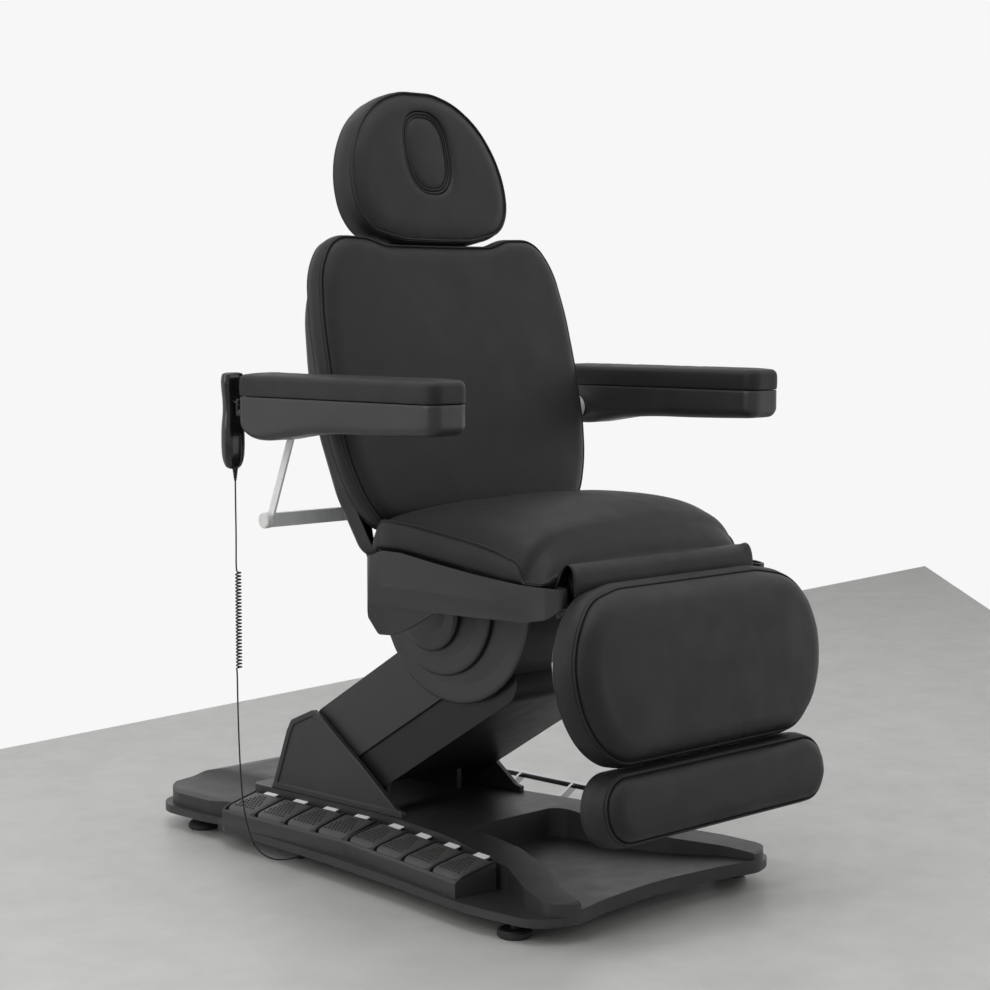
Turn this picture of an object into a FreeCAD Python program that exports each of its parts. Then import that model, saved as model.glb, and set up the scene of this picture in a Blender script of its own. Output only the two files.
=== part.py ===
import FreeCAD, Part
import math
import os

# Tattoo chair. Millimetres, +Z up, the sitter faces -Y, floor at z = 0.
# -X is the side with the foot controls and the handset.

# Clearances shared by all pieces
run_clearance = 0.06
part_clearance = 0.3
slot_clearance = 1.0
over = 10.0
least_turn = 0.001
corner_room = 0.48
bend_room = 0.45
least_term = 1e-9

# Floor, feet and base cover
foot_radius = 30.0
foot_height = 14.0
foot_stem_radius = 7.0
foot_chamfer = 3.5
foot_front_x = 281.0
foot_front_y = -437.0
foot_rear_x = 177.0
foot_rear_y = 538.0
base_half = 318.0
base_length = 1195.0
base_front = -542.0
base_underside = 31.0
ledge_top = 46.0
plateau_top = 110.0
tray_floor = 55.0
shell_wall = 4.0

base_plan_shares = [
    (0.000, 0.030, 1.887), (0.472, 0.017, 0.786), (0.770, 0.000, 0.314), (0.981, 0.031, 0.189),
    (1.000, 0.119, 0.503), (1.000, 0.178, 0.943), (0.912, 0.330, 1.572), (0.843, 0.505, 1.572),
    (0.792, 0.705, 0.629), (0.777, 0.776, 0.094), (0.689, 0.809, 0.094), (0.711, 0.855, 0.189),
    (0.711, 1.000, 0.430), (0.000, 1.000, 0.000),
]
core_plan_shares = [
    (0.000, 0.030, 1.887), (0.472, 0.017, 0.786), (0.770, 0.000, 0.189), (0.899, 0.025, 0.079),
    (0.824, 0.085, 0.189), (0.673, 0.156, 0.094), (0.509, 0.464, 0.943), (0.509, 0.792, 0.063),
    (0.000, 0.792, 0.000),
]
tray_plan_shares = [
    (0.000, 0.321, 0.000), (0.362, 0.321, 0.101), (0.384, 0.203, 0.252), (0.503, 0.119, 0.283),
    (0.667, 0.052, 0.283), (0.755, -0.032, 0.000), (0.000, -0.032, 0.000),
]
core_side_shares = [
    (-0.015, 0.282, 0.000), (-0.015, 0.527, 0.000), (0.010, 0.618, 0.025), (0.286, 0.973, 0.100),
    (0.328, 1.000, 0.167), (0.813, 1.000, 0.000), (0.813, 0.282, 0.000),
]
rear_plan_shares = [
    (0.000, 0.788, 0.000), (0.616, 0.788, 0.031), (0.673, 0.847, 0.157), (0.673, 0.993, 0.390),
    (0.000, 0.993, 0.000),
]
rear_side_shares = [
    (0.788, 0.282, 0.000), (0.788, 0.964, 0.000), (0.922, 0.964, 0.050), (0.979, 0.836, 0.025),
    (0.993, 0.545, 0.008), (0.993, 0.282, 0.000),
]
rear_front_shares = [
    (0.000, 0.282, 0.000), (0.692, 0.282, 0.000), (0.692, 0.636, 0.000), (0.629, 0.691, 0.063),
    (0.377, 0.764, 0.189), (0.283, 0.964, 0.126), (0.000, 0.964, 0.000),
]

# Floor frame with the lift brackets
frame_height = 11.0
frame_rail_inner = 84.0
frame_rail_outer = 100.0
frame_rail_front = -450.0
frame_rail_rear = 600.0
frame_cross_width = 50.0
frame_cross_overhang = 9.0
gland_cross_y = 157.0
gland_cross_reach = 238.0

# Lift linkage
lift_angle = 31.5
link_length = 430.0
lower_pivot_y = 110.0
lower_pivot_z = 167.0
pivot_offset_y = 73.0
pivot_offset_z = 73.0
lift_shaft_radius = 9.0
lift_shaft_reach = 118.0
bracket_inner = 86.0
bracket_outer = 98.0
bracket_front = 80.0
bracket_rear = 215.0
bracket_boss_radius = 22.0
link_inner = 102.0
link_outer = 114.0
link_half_height = 18.0
spacer_radius = 12.0
spacer_shares = [0.35, 0.70]
cover_wall = 3.0
lower_cover_half = 140.5
lower_cover_below = 47.0
lower_cover_above = 42.0
lower_cover_floor_start = 75.0
lower_cover_nose_top = 23.5
upper_cover_half = 146.0
upper_cover_below = 72.0
upper_cover_above = 49.0
upper_cover_roof_start = -24.0
upper_cover_roof_end = 405.0

# Lift housing on the base
housing_half = 160.0
housing_cheek = 11.0
housing_front = -29.0
housing_length = 374.0
housing_height = 168.0
housing_rim = 3.0
housing_side_shares = [
    (0.000, 0.000, 0.000), (0.000, 0.065, 0.005), (0.043, 0.083, 0.021), (0.291, 0.482, 0.160),
    (0.457, 0.720, 0.160), (0.594, 0.929, 0.053), (0.668, 1.000, 0.027), (0.837, 0.839, 0.037),
    (0.872, 0.708, 0.053), (0.984, 0.060, 0.043), (1.000, 0.000, 0.000),
]
housing_inner_shares = [
    (-0.136, -0.060, 0.000), (0.955, -0.060, 0.000), (0.947, 0.071, 0.027),
    (0.842, 0.667, 0.037), (0.789, 0.798, 0.027), (0.775, 1.310, 0.000), (-0.136, 1.310, 0.000),
]

# Carriage, tilt pivot and fan covers
tilt_y = -160.0
tilt_z = 528.0
tilt_shaft_radius = 11.0
tilt_shaft_reach = 160.0
tilt_tube_radius = 16.0
carriage_boss_radius = 24.0
fan_wall = 3.0
fan_pitch = 6.0
fan_front_angle = 180.0
fan_rear_angle = 360.0
fan_first = 150.0
fan_lower_radius = 188.0
fan_middle_radius = 128.0
fan_middle_y = -130.0
fan_middle_z = 515.0
fan_upper_radius = 73.0
fan_upper_y = -108.0
fan_upper_z = 502.0
fan_lower_end = 340.0
fan_middle_end = 320.0
fan_front_wall_end = 220.0
fan_hub_radius = 22.0
fan_flange = 14.0

# Control box, gland and foot controls
box_half = 90.0
box_front = 480.0
box_rear = 600.0
box_height = 26.0
gland_x = -252.0
gland_y = 157.0
gland_z = 22.0
gland_length = 16.0
gland_radius = 5.0
gland_tip_radius = 3.5
bank_inner = 166.0
bank_depth = 86.0
bank_inner_top = 96.0
bank_outer_top = 75.0
bank_rear_y = 382.0
bank_turn_y = 28.0
bank_turn = 9.0
bank_rim = 8.0
bank_outer_wall = 4.0
pedal_pitch = 88.5
pedal_gap = 1.0
pedal_rib = 6.5
pedal_thickness = 8.0
pedal_proud = 2.0
pedal_pocket = 16.0
pedal_pin_radius = 2.5
pedal_pin_root = 1.6
pedal_pin_inset = 7.0
pedals_per_bank = 4
foot_bar_radius = 7.0
foot_bar_x = 258.0
foot_bar_z = 114.0
foot_bar_half = 110.0
foot_bar_hinge_x = 190.0
foot_bar_hinge_z = 76.0
foot_bar_arm_y = 70.0
foot_bar_arm_wall = 6.0
foot_bar_ear_step = 9.0
foot_bar_pin_radius = 4.0
foot_bar_hub_radius = 8.0

# Seat
seat_half = 288.0
seat_length = 474.0
seat_front = -526.0
seat_shell_bottom = 464.0
seat_shell_height = 155.0
seat_shell_wall = 4.0
seat_side_shares = [
    (1.000, 0.852, 0.000), (0.863, 1.000, 0.084), (0.762, 1.000, 0.127), (0.582, 0.929, 0.211),
    (0.395, 0.865, 0.422), (0.181, 0.806, 0.127), (-0.008, 0.781, 0.000), (-0.008, 0.600, 0.013),
    (0.053, 0.458, 0.042), (0.139, 0.406, 0.084), (0.409, 0.381, 0.211), (0.597, 0.374, 0.127),
    (0.694, 0.232, 0.127), (0.791, 0.103, 0.127), (0.884, 0.013, 0.030), (0.954, 0.000, 0.017),
    (0.996, 0.303, 0.021),
]
seat_plan_shares = [
    (0.000, 0.992, 0.000), (0.980, 0.992, 0.120), (1.000, 0.780, 0.364),
    (1.000, 0.371, 0.727), (0.982, 0.181, 0.291), (0.960, 0.055, 0.073), (0.916, 0.000, 0.036),
    (0.862, 0.000, 0.022), (0.836, 0.068, 0.029), (0.000, 0.068, 0.000),
]
seat_front_shares = [
    (0.000, -0.058, 0.000), (0.873, -0.058, 0.000), (0.967, 0.361, 0.109), (0.993, 0.619, 0.218),
    (1.000, 1.135, 0.000), (0.000, 1.135, 0.000),
]
seat_cut_half = 170.0
seat_cut_top = 540.0
seat_rail_inner = 205.0
seat_rail_outer = 225.0
seat_rail_front = -488.0
seat_rail_rear = -75.0
seat_frame_bottom = 540.0
seat_frame_top = 576.0
seat_tube_wall = 3.0
seat_beam = 20.0
tilt_bracket_inner = 118.0
tilt_bracket_outer = 128.0
tilt_bracket_half = 35.0
tilt_boss_radius = 20.0
board_thickness = 7.7
board_corner = 30.0
seat_board_half = 250.0
seat_board_front = -470.0
seat_core_half = 258.0
seat_core_front = -470.0
seat_core_rear = -82.0
seat_tab_height = 8.0
seat_tab_shares = [0.25, 0.75]
# Seat cushion sections: place along the length, half width, under edge, top seam and crown, as
# shares of seat_length, seat_half and cushion_height above the board
cushion_height = 110.0
core_height = 37.0
cushion_section_shares = [
    (0.885, 0.97, 0.34, 0.77, 0.84), (0.85, 0.99, 0.35, 0.80, 0.90),
    (0.74, 1.00, 0.35, 0.78, 0.97), (0.56, 1.00, 0.25, 0.72, 1.00), (0.36, 1.00, 0.14, 0.60, 0.94),
    (0.20, 0.98, 0.07, 0.42, 0.76), (0.13, 0.96, 0.05, 0.25, 0.55), (0.087, 0.94, 0.04, 0.11, 0.28),
]
cushion_bulge = 6.0
# A flat pad's sections: height and inset as shares of its thickness; in the crown, height as a
# share of the crown
pad_side_shares = [(0.00, 0.10), (0.25, 0.02), (0.60, 0.00), (0.92, 0.03), (1.00, 0.12)]
pad_crown_shares = [(0.45, 0.55), (0.80, 1.30), (1.00, 2.20)]

# Leg hinge, front flap and legrest
leg_hinge_y = -512.0
leg_hinge_z = 594.0
hinge_tube_radius = 9.0
hinge_tube_reach = 222.0
seat_lug_inner = 190.0
seat_lug_outer = 202.0
seat_lug_radius = 16.0
lug_root_radius = 10.0
leg_lug_inner = 206.0
leg_lug_outer = 218.0
leg_lug_radius = 16.0
flap_half = 232.0
flap_outer = 27.0
flap_inner = 21.0
flap_start = 5.0
flap_end = 230.0
flap_notch_side = 3.0
flap_notch_rise = 21.5
flap_notch_rear = 12.0
leg_angle = 82.0
leg_origin_y = -541.0
leg_origin_z = 590.0
leg_half = 314.0
leg_height = 298.0
leg_pad_thickness = 62.0
leg_pad_crown = 9.0
leg_plan_shares = [
    (0.000, 0.000, 0.000), (0.480, 0.000, 0.600), (0.760, -0.080, 0.700), (0.920, -0.290, 0.700),
    (1.000, -0.560, 0.900), (0.965, -0.800, 0.500), (0.820, -1.000, 0.330), (0.000, -1.000, 0.000),
]
leg_board_top = -44.0
leg_board_bottom = -245.0
leg_board_half = 188.0
leg_rail_back = 20.0
leg_rail_bottom = -232.0
leg_shell_half = 290.0
leg_shell_wall = 3.0
leg_shell_slot_low = -62.0
leg_shell_side_shares = [
    (-0.050, -0.020, 0.000), (-0.050, 0.055, 0.010), (-0.210, 0.420, 0.060), (-0.270, 0.830, 0.060),
    (-0.330, 0.830, 0.100), (-0.620, 0.440, 0.300), (-0.900, 0.360, 0.060), (-0.965, -0.020, 0.000),
]
leg_shell_plan_shares = [
    (0.000, -0.045, 0.000), (0.480, -0.045, 0.400), (0.760, -0.140, 0.600), (0.930, -0.360, 0.600),
    (1.000, -0.560, 0.800), (0.945, -0.790, 0.400), (0.760, -0.960, 0.250), (0.000, -0.960, 0.000),
]

# Foot pad on its two sliding flats
foot_pad_half = 289.0
foot_pad_top = -301.0
foot_pad_bottom = -425.0
foot_pad_corner = 60.0
foot_plate_half = 235.0
foot_bar_inner = 60.0
foot_bar_outer = 84.0
foot_flat_thickness = 6.0
foot_flat_top = -110.0
foot_flat_level = -15.5
foot_guide_length = 26.0
foot_guide_tops = [-64.0, -220.0]

# Backrest, in its own frame: y up along the pad, z towards the sitter
back_hinge_y = 0.0
back_hinge_z = 600.0
back_origin_y = -47.0
back_origin_z = 630.0
back_angle = 76.6
back_half = 309.0
back_height = 530.0
back_pad_thickness = 45.0
back_pad_crown = 15.0
back_plan_shares = [
    (0.000, 0.020, 0.000), (0.840, 0.020, 0.180), (0.945, 0.160, 0.500), (0.995, 0.330, 1.000),
    (1.005, 0.520, 1.400), (0.990, 0.720, 1.200), (0.945, 0.910, 0.700), (0.800, 1.000, 0.450),
    (0.000, 1.000, 0.000),
]
back_shell_half = 303.0
back_shell_depth = 42.0
back_shell_wall = 3.0
back_shell_round = 14.0
back_slot_top = 40.0
back_shell_plan_shares = [
    (0.000, -0.055, 0.000), (0.800, -0.055, 0.130), (0.930, 0.160, 0.500), (0.990, 0.370, 0.800),
    (1.000, 0.580, 1.200), (0.955, 0.790, 0.800), (0.860, 0.910, 0.400), (0.700, 0.956, 0.300),
    (0.000, 0.956, 0.000),
]
back_board_inset = 34.0
back_rail_inner = 180.0
back_rail_outer = 195.0
back_rail_back = 36.0
back_rail_top = 478.0
back_tube_radius = 12.0
back_tube_places = [70.0, 420.0]
back_hub_radius = 16.0
back_pin_radius = 8.0
rear_bracket_inner = 196.0
rear_bracket_outer = 204.0
rear_bracket_root = -87.0
rear_bracket_root_radius = 12.0
slot_half_extra = 2.0
socket_x = 60.0
socket_level = -20.0
socket_outer = 11.0
post_radius = 7.0
socket_bottom = 330.0
socket_top = 515.0
post_bottom = 345.0

# Armrests, their level link and the crossbar behind the back
arm_pivot_y = 25.0
arm_pivot_z = 842.0
arm_shaft_radius = 10.0
arm_shaft_reach = 360.0
hub_inner = 352.0
arm_inner = 361.0
arm_outer = 448.0
arm_hub_radius = 24.0
link_pivot_drop = 180.0
link_pivot_back = 73.0
strut_thickness = 5.0
strut_width = 15.0
bar_height = 25.0
bar_depth = 12.0
level_link_inner = 181.0
level_link_thickness = 8.0
level_link_width = 24.0
level_link_ring = 20.0
level_link_bore = 15.5
level_pin_radius = 6.0
cap_radius = 14.0
cap_length = 14.0
cap_round = 2.8
arm_front = -418.0
arm_rear = 80.0
arm_seam = 886.0
arm_top = 926.0
arm_length = 498.0
arm_shell_depth = 76.0
arm_shell_wall = 3.0
arm_plan_shares = [
    (0.000, 0.000, 0.280), (1.000, 0.000, 0.280), (1.000, 1.000, 0.200), (0.000, 1.000, 0.200),
]
arm_side_shares = [
    (0.000, 1.000, 0.000), (1.000, 1.000, 0.000), (0.992, 0.560, 0.040), (0.950, 0.140, 0.060),
    (0.855, -0.010, 0.100), (0.700, 0.160, 0.200), (0.520, 0.255, 0.300), (0.300, 0.270, 0.300),
    (0.075, 0.320, 0.060), (0.022, 0.400, 0.050), (0.002, 0.620, 0.030),
]
# Sections of the arm pad: height as a share of its thickness, inset as a share of its width
arm_pad_shares = [(0.01, 0.040), (0.35, 0.000), (0.70, 0.015), (0.90, 0.080), (1.00, 0.250)]
hook_width = 12.0
hook_thickness = 6.0
hook_low = 850.0
hook_floor = 862.0
hook_tip = 880.0
hook_reach = 95.0
hook_root = 16.0

# Headrest, in the back's frame
head_half = 194.0
head_bottom = 533.0
head_height = 287.0
head_thickness = 44.0
head_crown = 9.0
head_plan_shares = [
    (0.000, 0.000, 0.000), (0.520, 0.000, 0.700), (0.840, 0.060, 0.600), (0.990, 0.200, 0.800),
    (1.010, 0.390, 1.500), (0.955, 0.600, 1.500), (0.840, 0.790, 1.000), (0.620, 0.940, 0.900),
    (0.320, 1.005, 0.900), (0.000, 1.005, 0.000),
]
head_hinge = 600.0
head_pin_radius = 6.0
head_pin_reach = 82.0
head_lug_inner = 70.0
head_lug_outer = 80.0
head_lug_radius = 11.0
head_board_inset = 20.0
head_board_back = 12.0
face_centre = 702.0
face_half_width = 58.0
face_half_height = 80.0
face_clearance = 0.8
face_plug_round = 6.3

# Handset and its curly cord
handset_x = -430.0
handset_front = 97.5
handset_width = 45.0
handset_depth = 25.0
handset_bottom = 757.0
handset_top = 926.0
handset_corner = 12.0
handset_low_corner = 20.0
handset_round = 6.0
keypad_margin = 7.0
keypad_height = 90.0
keypad_thickness = 1.0
relief_length = 22.0
relief_top_radius = 5.0
relief_tip_radius = 2.6
loop_half = 10.0
loop_wall = 3.5
loop_height = 16.0
cord_radius = 1.4
curl_radius = 4.4
curl_pitch = 6.0
curl_turns = 29
end_straight = 3.0
cord_gap = 0.2

# Hand-chosen points of the cord's free stretches, from the handset down to the gland
cord_x = -426.0
cord_y = 110.0
curl_top = 580.0
curl_bottom = 395.0
low_run_points = [
    (-426.0, 110.0, 395.0), (-425.6, 110.0, 335.0), (-423.6, 110.2, 272.0), (-420.6, 110.6, 212.0),
    (-416.0, 111.2, 165.0), (-409.6, 112.2, 131.0), (-402.2, 113.6, 110.0),
]
base_run_points = [
    (-402.2, 113.6, 110.0), (-394.8, 115.0, 89.0), (-381.0, 118.6, 70.0), (-362.0, 125.0, 53.5),
    (-338.0, 134.0, 40.0), (-311.0, 144.0, 30.0), (-283.0, 153.0, 23.6), (-262.0, 157.0, 22.0),
    (-252.0, 157.0, 22.0),
]

V = FreeCAD.Vector
origin = V(0, 0, 0)
axis_x = V(1, 0, 0)
axis_y = V(0, 1, 0)
axis_z = V(0, 0, 1)


# Helpers

def spot(plane, a, b, level):
    """A point given by two coordinates of a plane and the level along the third."""
    if plane == "xy":
        return V(a, b, level)
    if plane == "yz":
        return V(level, a, b)
    return V(a, level, b)


def normal(plane):
    """The direction along which a slab on the plane grows."""
    if plane == "xy":
        return axis_z
    if plane == "yz":
        return axis_x
    return axis_y


def table(shares, width, length, start_a=0.0, start_b=0.0, radius=None):
    """Outline points (a, b, corner radius) from shares of two named sizes."""
    round_size = radius or width
    return [(start_a + a * width, start_b + b * length, r * round_size) for a, b, r in shares]


def mirrored(half):
    """The whole outline, from its half between two points on the middle plane."""
    other = [(-a, b, r) for a, b, r in reversed(half[1:-1])]
    return half + other


def rounded(plane, points, level):
    """A closed wire through the points, with an arc at each corner that has a radius."""
    count = len(points)
    corners = []
    for i in range(count):
        a, b, r = points[i]
        here = V(a, b, 0)
        before = V(points[i - 1][0], points[i - 1][1], 0) - here
        after = V(points[(i + 1) % count][0], points[(i + 1) % count][1], 0) - here
        turn = math.pi - before.getAngle(after)
        if r == 0 or turn < least_turn:
            corners.append((here, here, here))
            continue
        room = min(before.Length, after.Length) * corner_room
        reach = min(r * math.tan(turn / 2), room)
        start = here + before.normalize() * reach
        end = here + after.normalize() * reach
        radius = reach / math.tan(turn / 2)
        inward = (before + after).normalize()
        middle = here + inward * (radius / math.cos(turn / 2) - radius)
        corners.append((start, middle, end))
    edges = []
    for i in range(count):
        start, middle, end = corners[i]
        follow = corners[(i + 1) % count][0]
        if (end - start).Length > 0:
            arc = [spot(plane, p.x, p.y, level) for p in (start, middle, end)]
            edges.append(Part.Arc(*arc).toShape())
        edges.append(Part.makeLine(spot(plane, end.x, end.y, level),
                                   spot(plane, follow.x, follow.y, level)))
    return Part.Wire(edges)


def slab(plane, points, low, high):
    """The outline pushed from one level to another."""
    face = Part.Face(rounded(plane, points, low))
    return face.extrude(normal(plane) * (high - low))


def inset_slab(plane, points, inset, low, high):
    """The same slab with its outline moved inwards by the inset."""
    face = Part.Face(rounded(plane, points, low)).makeOffset2D(-inset)
    return face.extrude(normal(plane) * (high - low))


def block(x0, x1, y0, y1, z0, z1):
    """A box between two corners."""
    return Part.makeBox(x1 - x0, y1 - y0, z1 - z0, V(x0, y0, z0))


def rod_x(radius, y, z, x0, x1):
    """A round bar along X."""
    return Part.makeCylinder(radius, x1 - x0, V(x0, y, z), axis_x)


def rod_y(radius, x, z, y0, y1):
    """A round bar along Y."""
    return Part.makeCylinder(radius, y1 - y0, V(x, y0, z), axis_y)


def rod_z(radius, x, y, z0, z1):
    """A round bar along Z."""
    return Part.makeCylinder(radius, z1 - z0, V(x, y, z0), axis_z)


def flip(shape):
    """The mirror image on the other side of the middle plane."""
    return shape.mirror(origin, axis_x)


def both(shape):
    """The shape and its mirror image."""
    return [shape, flip(shape)]


def join(shapes):
    """One body from pieces that touch or overlap."""
    body = shapes[0].multiFuse(shapes[1:])
    return body.removeSplitter()


def group(shapes):
    """Separate solids kept in one node."""
    return Part.makeCompound(shapes)


def turned(shape, y, z, angle):
    """A shape from a local frame: its y axis at the angle in the YZ plane, origin at (y, z)."""
    copy = shape.copy()
    copy.rotate(origin, axis_x, angle)
    copy.translate(V(0, y, z))
    return copy


def in_back(shape):
    """From the back's frame to the chair."""
    return turned(shape, back_origin_y, back_origin_z, back_angle)


def in_leg(shape):
    """From the leg's frame to the chair."""
    return turned(shape, leg_origin_y, leg_origin_z, leg_angle)


def local(y, z, origin_y, origin_z, angle):
    """A chair point (y, z) in the local frame."""
    c = math.cos(math.radians(angle))
    s = math.sin(math.radians(angle))
    dy = y - origin_y
    dz = z - origin_z
    return dy * c + dz * s, dz * c - dy * s


def shrunk(points, inset):
    """The outline drawn in by the inset at its widest and longest places."""
    low = min(p[1] for p in points)
    high = max(p[1] for p in points)
    half = max(p[0] for p in points)
    middle = (low + high) / 2
    across = (half - inset) / half
    along = ((high - low) / 2 - inset) / ((high - low) / 2)
    return [(a * across, middle + (b - middle) * along, r * across) for a, b, r in points]


def pad(points, levels):
    """A crowned pad: the outline lofted through levels (height, inset)."""
    wires = [rounded("xy", shrunk(points, inset), height) for height, inset in levels]
    return Part.makeLoft(wires, True, True)


def hull(plane, circles, low, high):
    """A plate round two or more circles (a, b, radius), each joined to the next by its tangents."""
    parts = []
    for a, b, r in circles:
        parts.append(Part.makeCylinder(r, high - low, spot(plane, a, b, low), normal(plane)))
    for i in range(len(circles) - 1):
        a0, b0, r0 = circles[i]
        a1, b1, r1 = circles[i + 1]
        distance = math.hypot(a1 - a0, b1 - b0)
        heading = math.atan2(b1 - b0, a1 - a0)
        lean = math.acos((r0 - r1) / distance)
        corners = []
        for side in (1, -1):
            angle = heading + side * lean
            first = (a0 + r0 * math.cos(angle), b0 + r0 * math.sin(angle), 0)
            second = (a1 + r1 * math.cos(angle), b1 + r1 * math.sin(angle), 0)
            corners.append((first, second))
        points = [corners[0][0], corners[0][1], corners[1][1], corners[1][0]]
        parts.append(slab(plane, points, low, high))
    return join(parts)


def box_tube(plane, points, wall, low, high):
    """A square tube: a slab with its inside cut away."""
    outer = slab(plane, points, low, high)
    inner = inset_slab(plane, points, wall, low - over, high + over)
    return outer.cut(inner)


def rectangle(a0, a1, b0, b1, r=0.0):
    """Outline points of a rectangle with equal corners."""
    return [(a0, b0, r), (a1, b0, r), (a1, b1, r), (a0, b1, r)]


def save(name, shape):
    """Writes one sub-part."""
    shape.exportStep("parts/" + name + ".step")


# Base

def core_side(drop):
    """The raised body's side view, pushed across the base and lowered by the drop."""
    points = table(core_side_shares, base_length, plateau_top, base_front, -drop)
    return slab("yz", points, -base_half, base_half)


def rear_body(inset):
    """The raised rear block, drawn in by the inset."""
    plan = mirrored(table(rear_plan_shares, base_half, base_length, 0, base_front))
    side = table(rear_side_shares, base_length, plateau_top, base_front, -inset)
    front = mirrored(table(rear_front_shares, base_half, plateau_top, 0, -inset))
    rear_end = base_front + base_length
    block_plan = inset_slab("xy", plan, inset, 0, plateau_top) if inset else slab(
        "xy", plan, 0, plateau_top)
    across = slab("yz", side, -base_half, base_half)
    along = slab("xz", front, 0, rear_end + over)
    return block_plan.common(across).common(along)


def base_shell():
    """The moulded floor cover: skirt, raised body with its two front legs, tray and rear block."""
    plan = mirrored(table(base_plan_shares, base_half, base_length, 0, base_front))
    core_plan = mirrored(table(core_plan_shares, base_half, base_length, 0, base_front))
    tray_plan = mirrored(table(tray_plan_shares, base_half, base_length, 0, base_front))
    skirt = slab("xy", plan, base_underside, ledge_top)
    core = slab("xy", core_plan, base_underside, plateau_top).common(core_side(0))
    rear = rear_body(0)
    tray = slab("xy", tray_plan, tray_floor, plateau_top + over)
    body = skirt.fuse([core, rear]).cut(tray)
    skirt_hollow = inset_slab("xy", plan, shell_wall, base_underside - over,
                              ledge_top - shell_wall)
    core_hollow = inset_slab("xy", core_plan, shell_wall, base_underside - over, plateau_top)
    core_hollow = core_hollow.common(core_side(shell_wall))
    under_tray = inset_slab("xy", tray_plan, -shell_wall, tray_floor - shell_wall, plateau_top)
    rear_hollow = rear_body(shell_wall)
    hollow = skirt_hollow.fuse([core_hollow.cut(under_tray), rear_hollow])
    body = body.cut(hollow)
    slots = []
    for slot in both(block(bracket_inner - slot_clearance, bracket_outer + slot_clearance,
                           bracket_front - slot_clearance, bracket_rear + slot_clearance,
                           ledge_top, plateau_top + over)):
        slots.append(slot)
    return body.cut(slots).removeSplitter()


def upper_pivot():
    """The rear end of the upper link."""
    return lower_pivot_y + pivot_offset_y, lower_pivot_z + pivot_offset_z


def link_point(base_y, base_z, along, across):
    """A point on a link: along it from its rear pivot and across it, upwards positive."""
    c = math.cos(math.radians(lift_angle))
    s = math.sin(math.radians(lift_angle))
    return base_y - along * c + across * s, base_z + along * s + across * c


def base_frame():
    """The steel floor frame with both lift brackets and their shafts."""
    top = base_underside + frame_height
    pieces = both(block(frame_rail_inner, frame_rail_outer, frame_rail_front, frame_rail_rear,
                        base_underside, top))
    half = frame_cross_width / 2
    for x, y in ((foot_front_x, foot_front_y), (foot_rear_x, foot_rear_y)):
        reach = x + frame_cross_overhang
        pieces.append(block(-reach, reach, y - half, y + half, base_underside, top))
    pieces.append(block(-gland_cross_reach, gland_cross_reach, gland_cross_y - half,
                        gland_cross_y + half, base_underside, top))
    upper_y, upper_z = upper_pivot()
    r = bracket_boss_radius
    outline = [
        (bracket_front, base_underside, 0), (bracket_rear, base_underside, 0),
        (bracket_rear, upper_z, r), (upper_y + r, upper_z + r, r), (upper_y - r, upper_z + r, r),
        (bracket_front, lower_pivot_z + r, r),
    ]
    pieces += both(slab("yz", outline, bracket_inner, bracket_outer))
    pieces.append(rod_x(lift_shaft_radius, lower_pivot_y, lower_pivot_z, -lift_shaft_reach,
                        lift_shaft_reach))
    pieces.append(rod_x(lift_shaft_radius, upper_y, upper_z, -lift_shaft_reach, lift_shaft_reach))
    return join(pieces)


def levelling_feet():
    """Four screw feet, a disc on a stem each."""
    feet = []
    for x, y in ((foot_front_x, foot_front_y), (foot_rear_x, foot_rear_y)):
        disc = rod_z(foot_radius, x, y, 0, foot_height)
        disc = disc.makeChamfer(foot_chamfer, disc.Edges)
        stem = rod_z(foot_stem_radius, x, y, foot_height, base_underside)
        feet += both(join([disc, stem]))
    return group(feet)


def control_box():
    """The sealed control box in the rear block."""
    low = base_underside + frame_height
    points = rectangle(-box_half, box_half, box_front, box_rear, box_height / 2)
    return slab("xy", points, low, low + box_height)


def cord_gland():
    """The gland under the near edge, hung from the frame's middle cross bar."""
    tip = Part.makeCone(gland_tip_radius, gland_radius, gland_length / 2,
                        V(gland_x, gland_y, gland_z), axis_x)
    sleeve = rod_x(gland_radius, gland_y, gland_z, gland_x + gland_length / 2,
                   gland_x + gland_length * 2)
    lug = block(gland_x + gland_length, gland_x + gland_length * 2, gland_y - gland_radius,
                gland_y + gland_radius, gland_z, base_underside)
    return join([tip, sleeve, lug])


# Foot controls

def bank_slope(depth):
    """Height of the bank's top at a depth outwards from its inner edge."""
    return bank_inner_top - (bank_inner_top - bank_outer_top) * depth / bank_depth


def strip(inner, outer, above, below, y0, y1):
    """A slanted strip under the bank's top, between two depths and two offsets from the top."""
    points = [
        (-bank_inner - inner, bank_slope(inner) + below, 0),
        (-bank_inner - inner, bank_slope(inner) + above, 0),
        (-bank_inner - outer, bank_slope(outer) + above, 0),
        (-bank_inner - outer, bank_slope(outer) + below, 0),
    ]
    return slab("xz", points, y0, y1)


def bank_place(shape, front):
    """Moves a piece of the rear bank to its bank."""
    copy = shape.copy()
    if front:
        copy.translate(V(0, bank_turn_y - bank_rear_y, 0))
        copy.rotate(V(-bank_inner - bank_depth, bank_turn_y, 0), axis_z, -bank_turn)
    return copy


def pedal_range(index):
    """Rear and front ends of one pedal's pocket."""
    start = bank_rear_y - index * pedal_pitch
    return start - pedal_pitch + pedal_rib / 2, start - pedal_rib / 2


def pedal_pin_height():
    """Height of the pedal pins' axis."""
    depth = bank_rim + pedal_pin_inset
    return bank_slope(depth) + pedal_proud - pedal_thickness / 2


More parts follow.
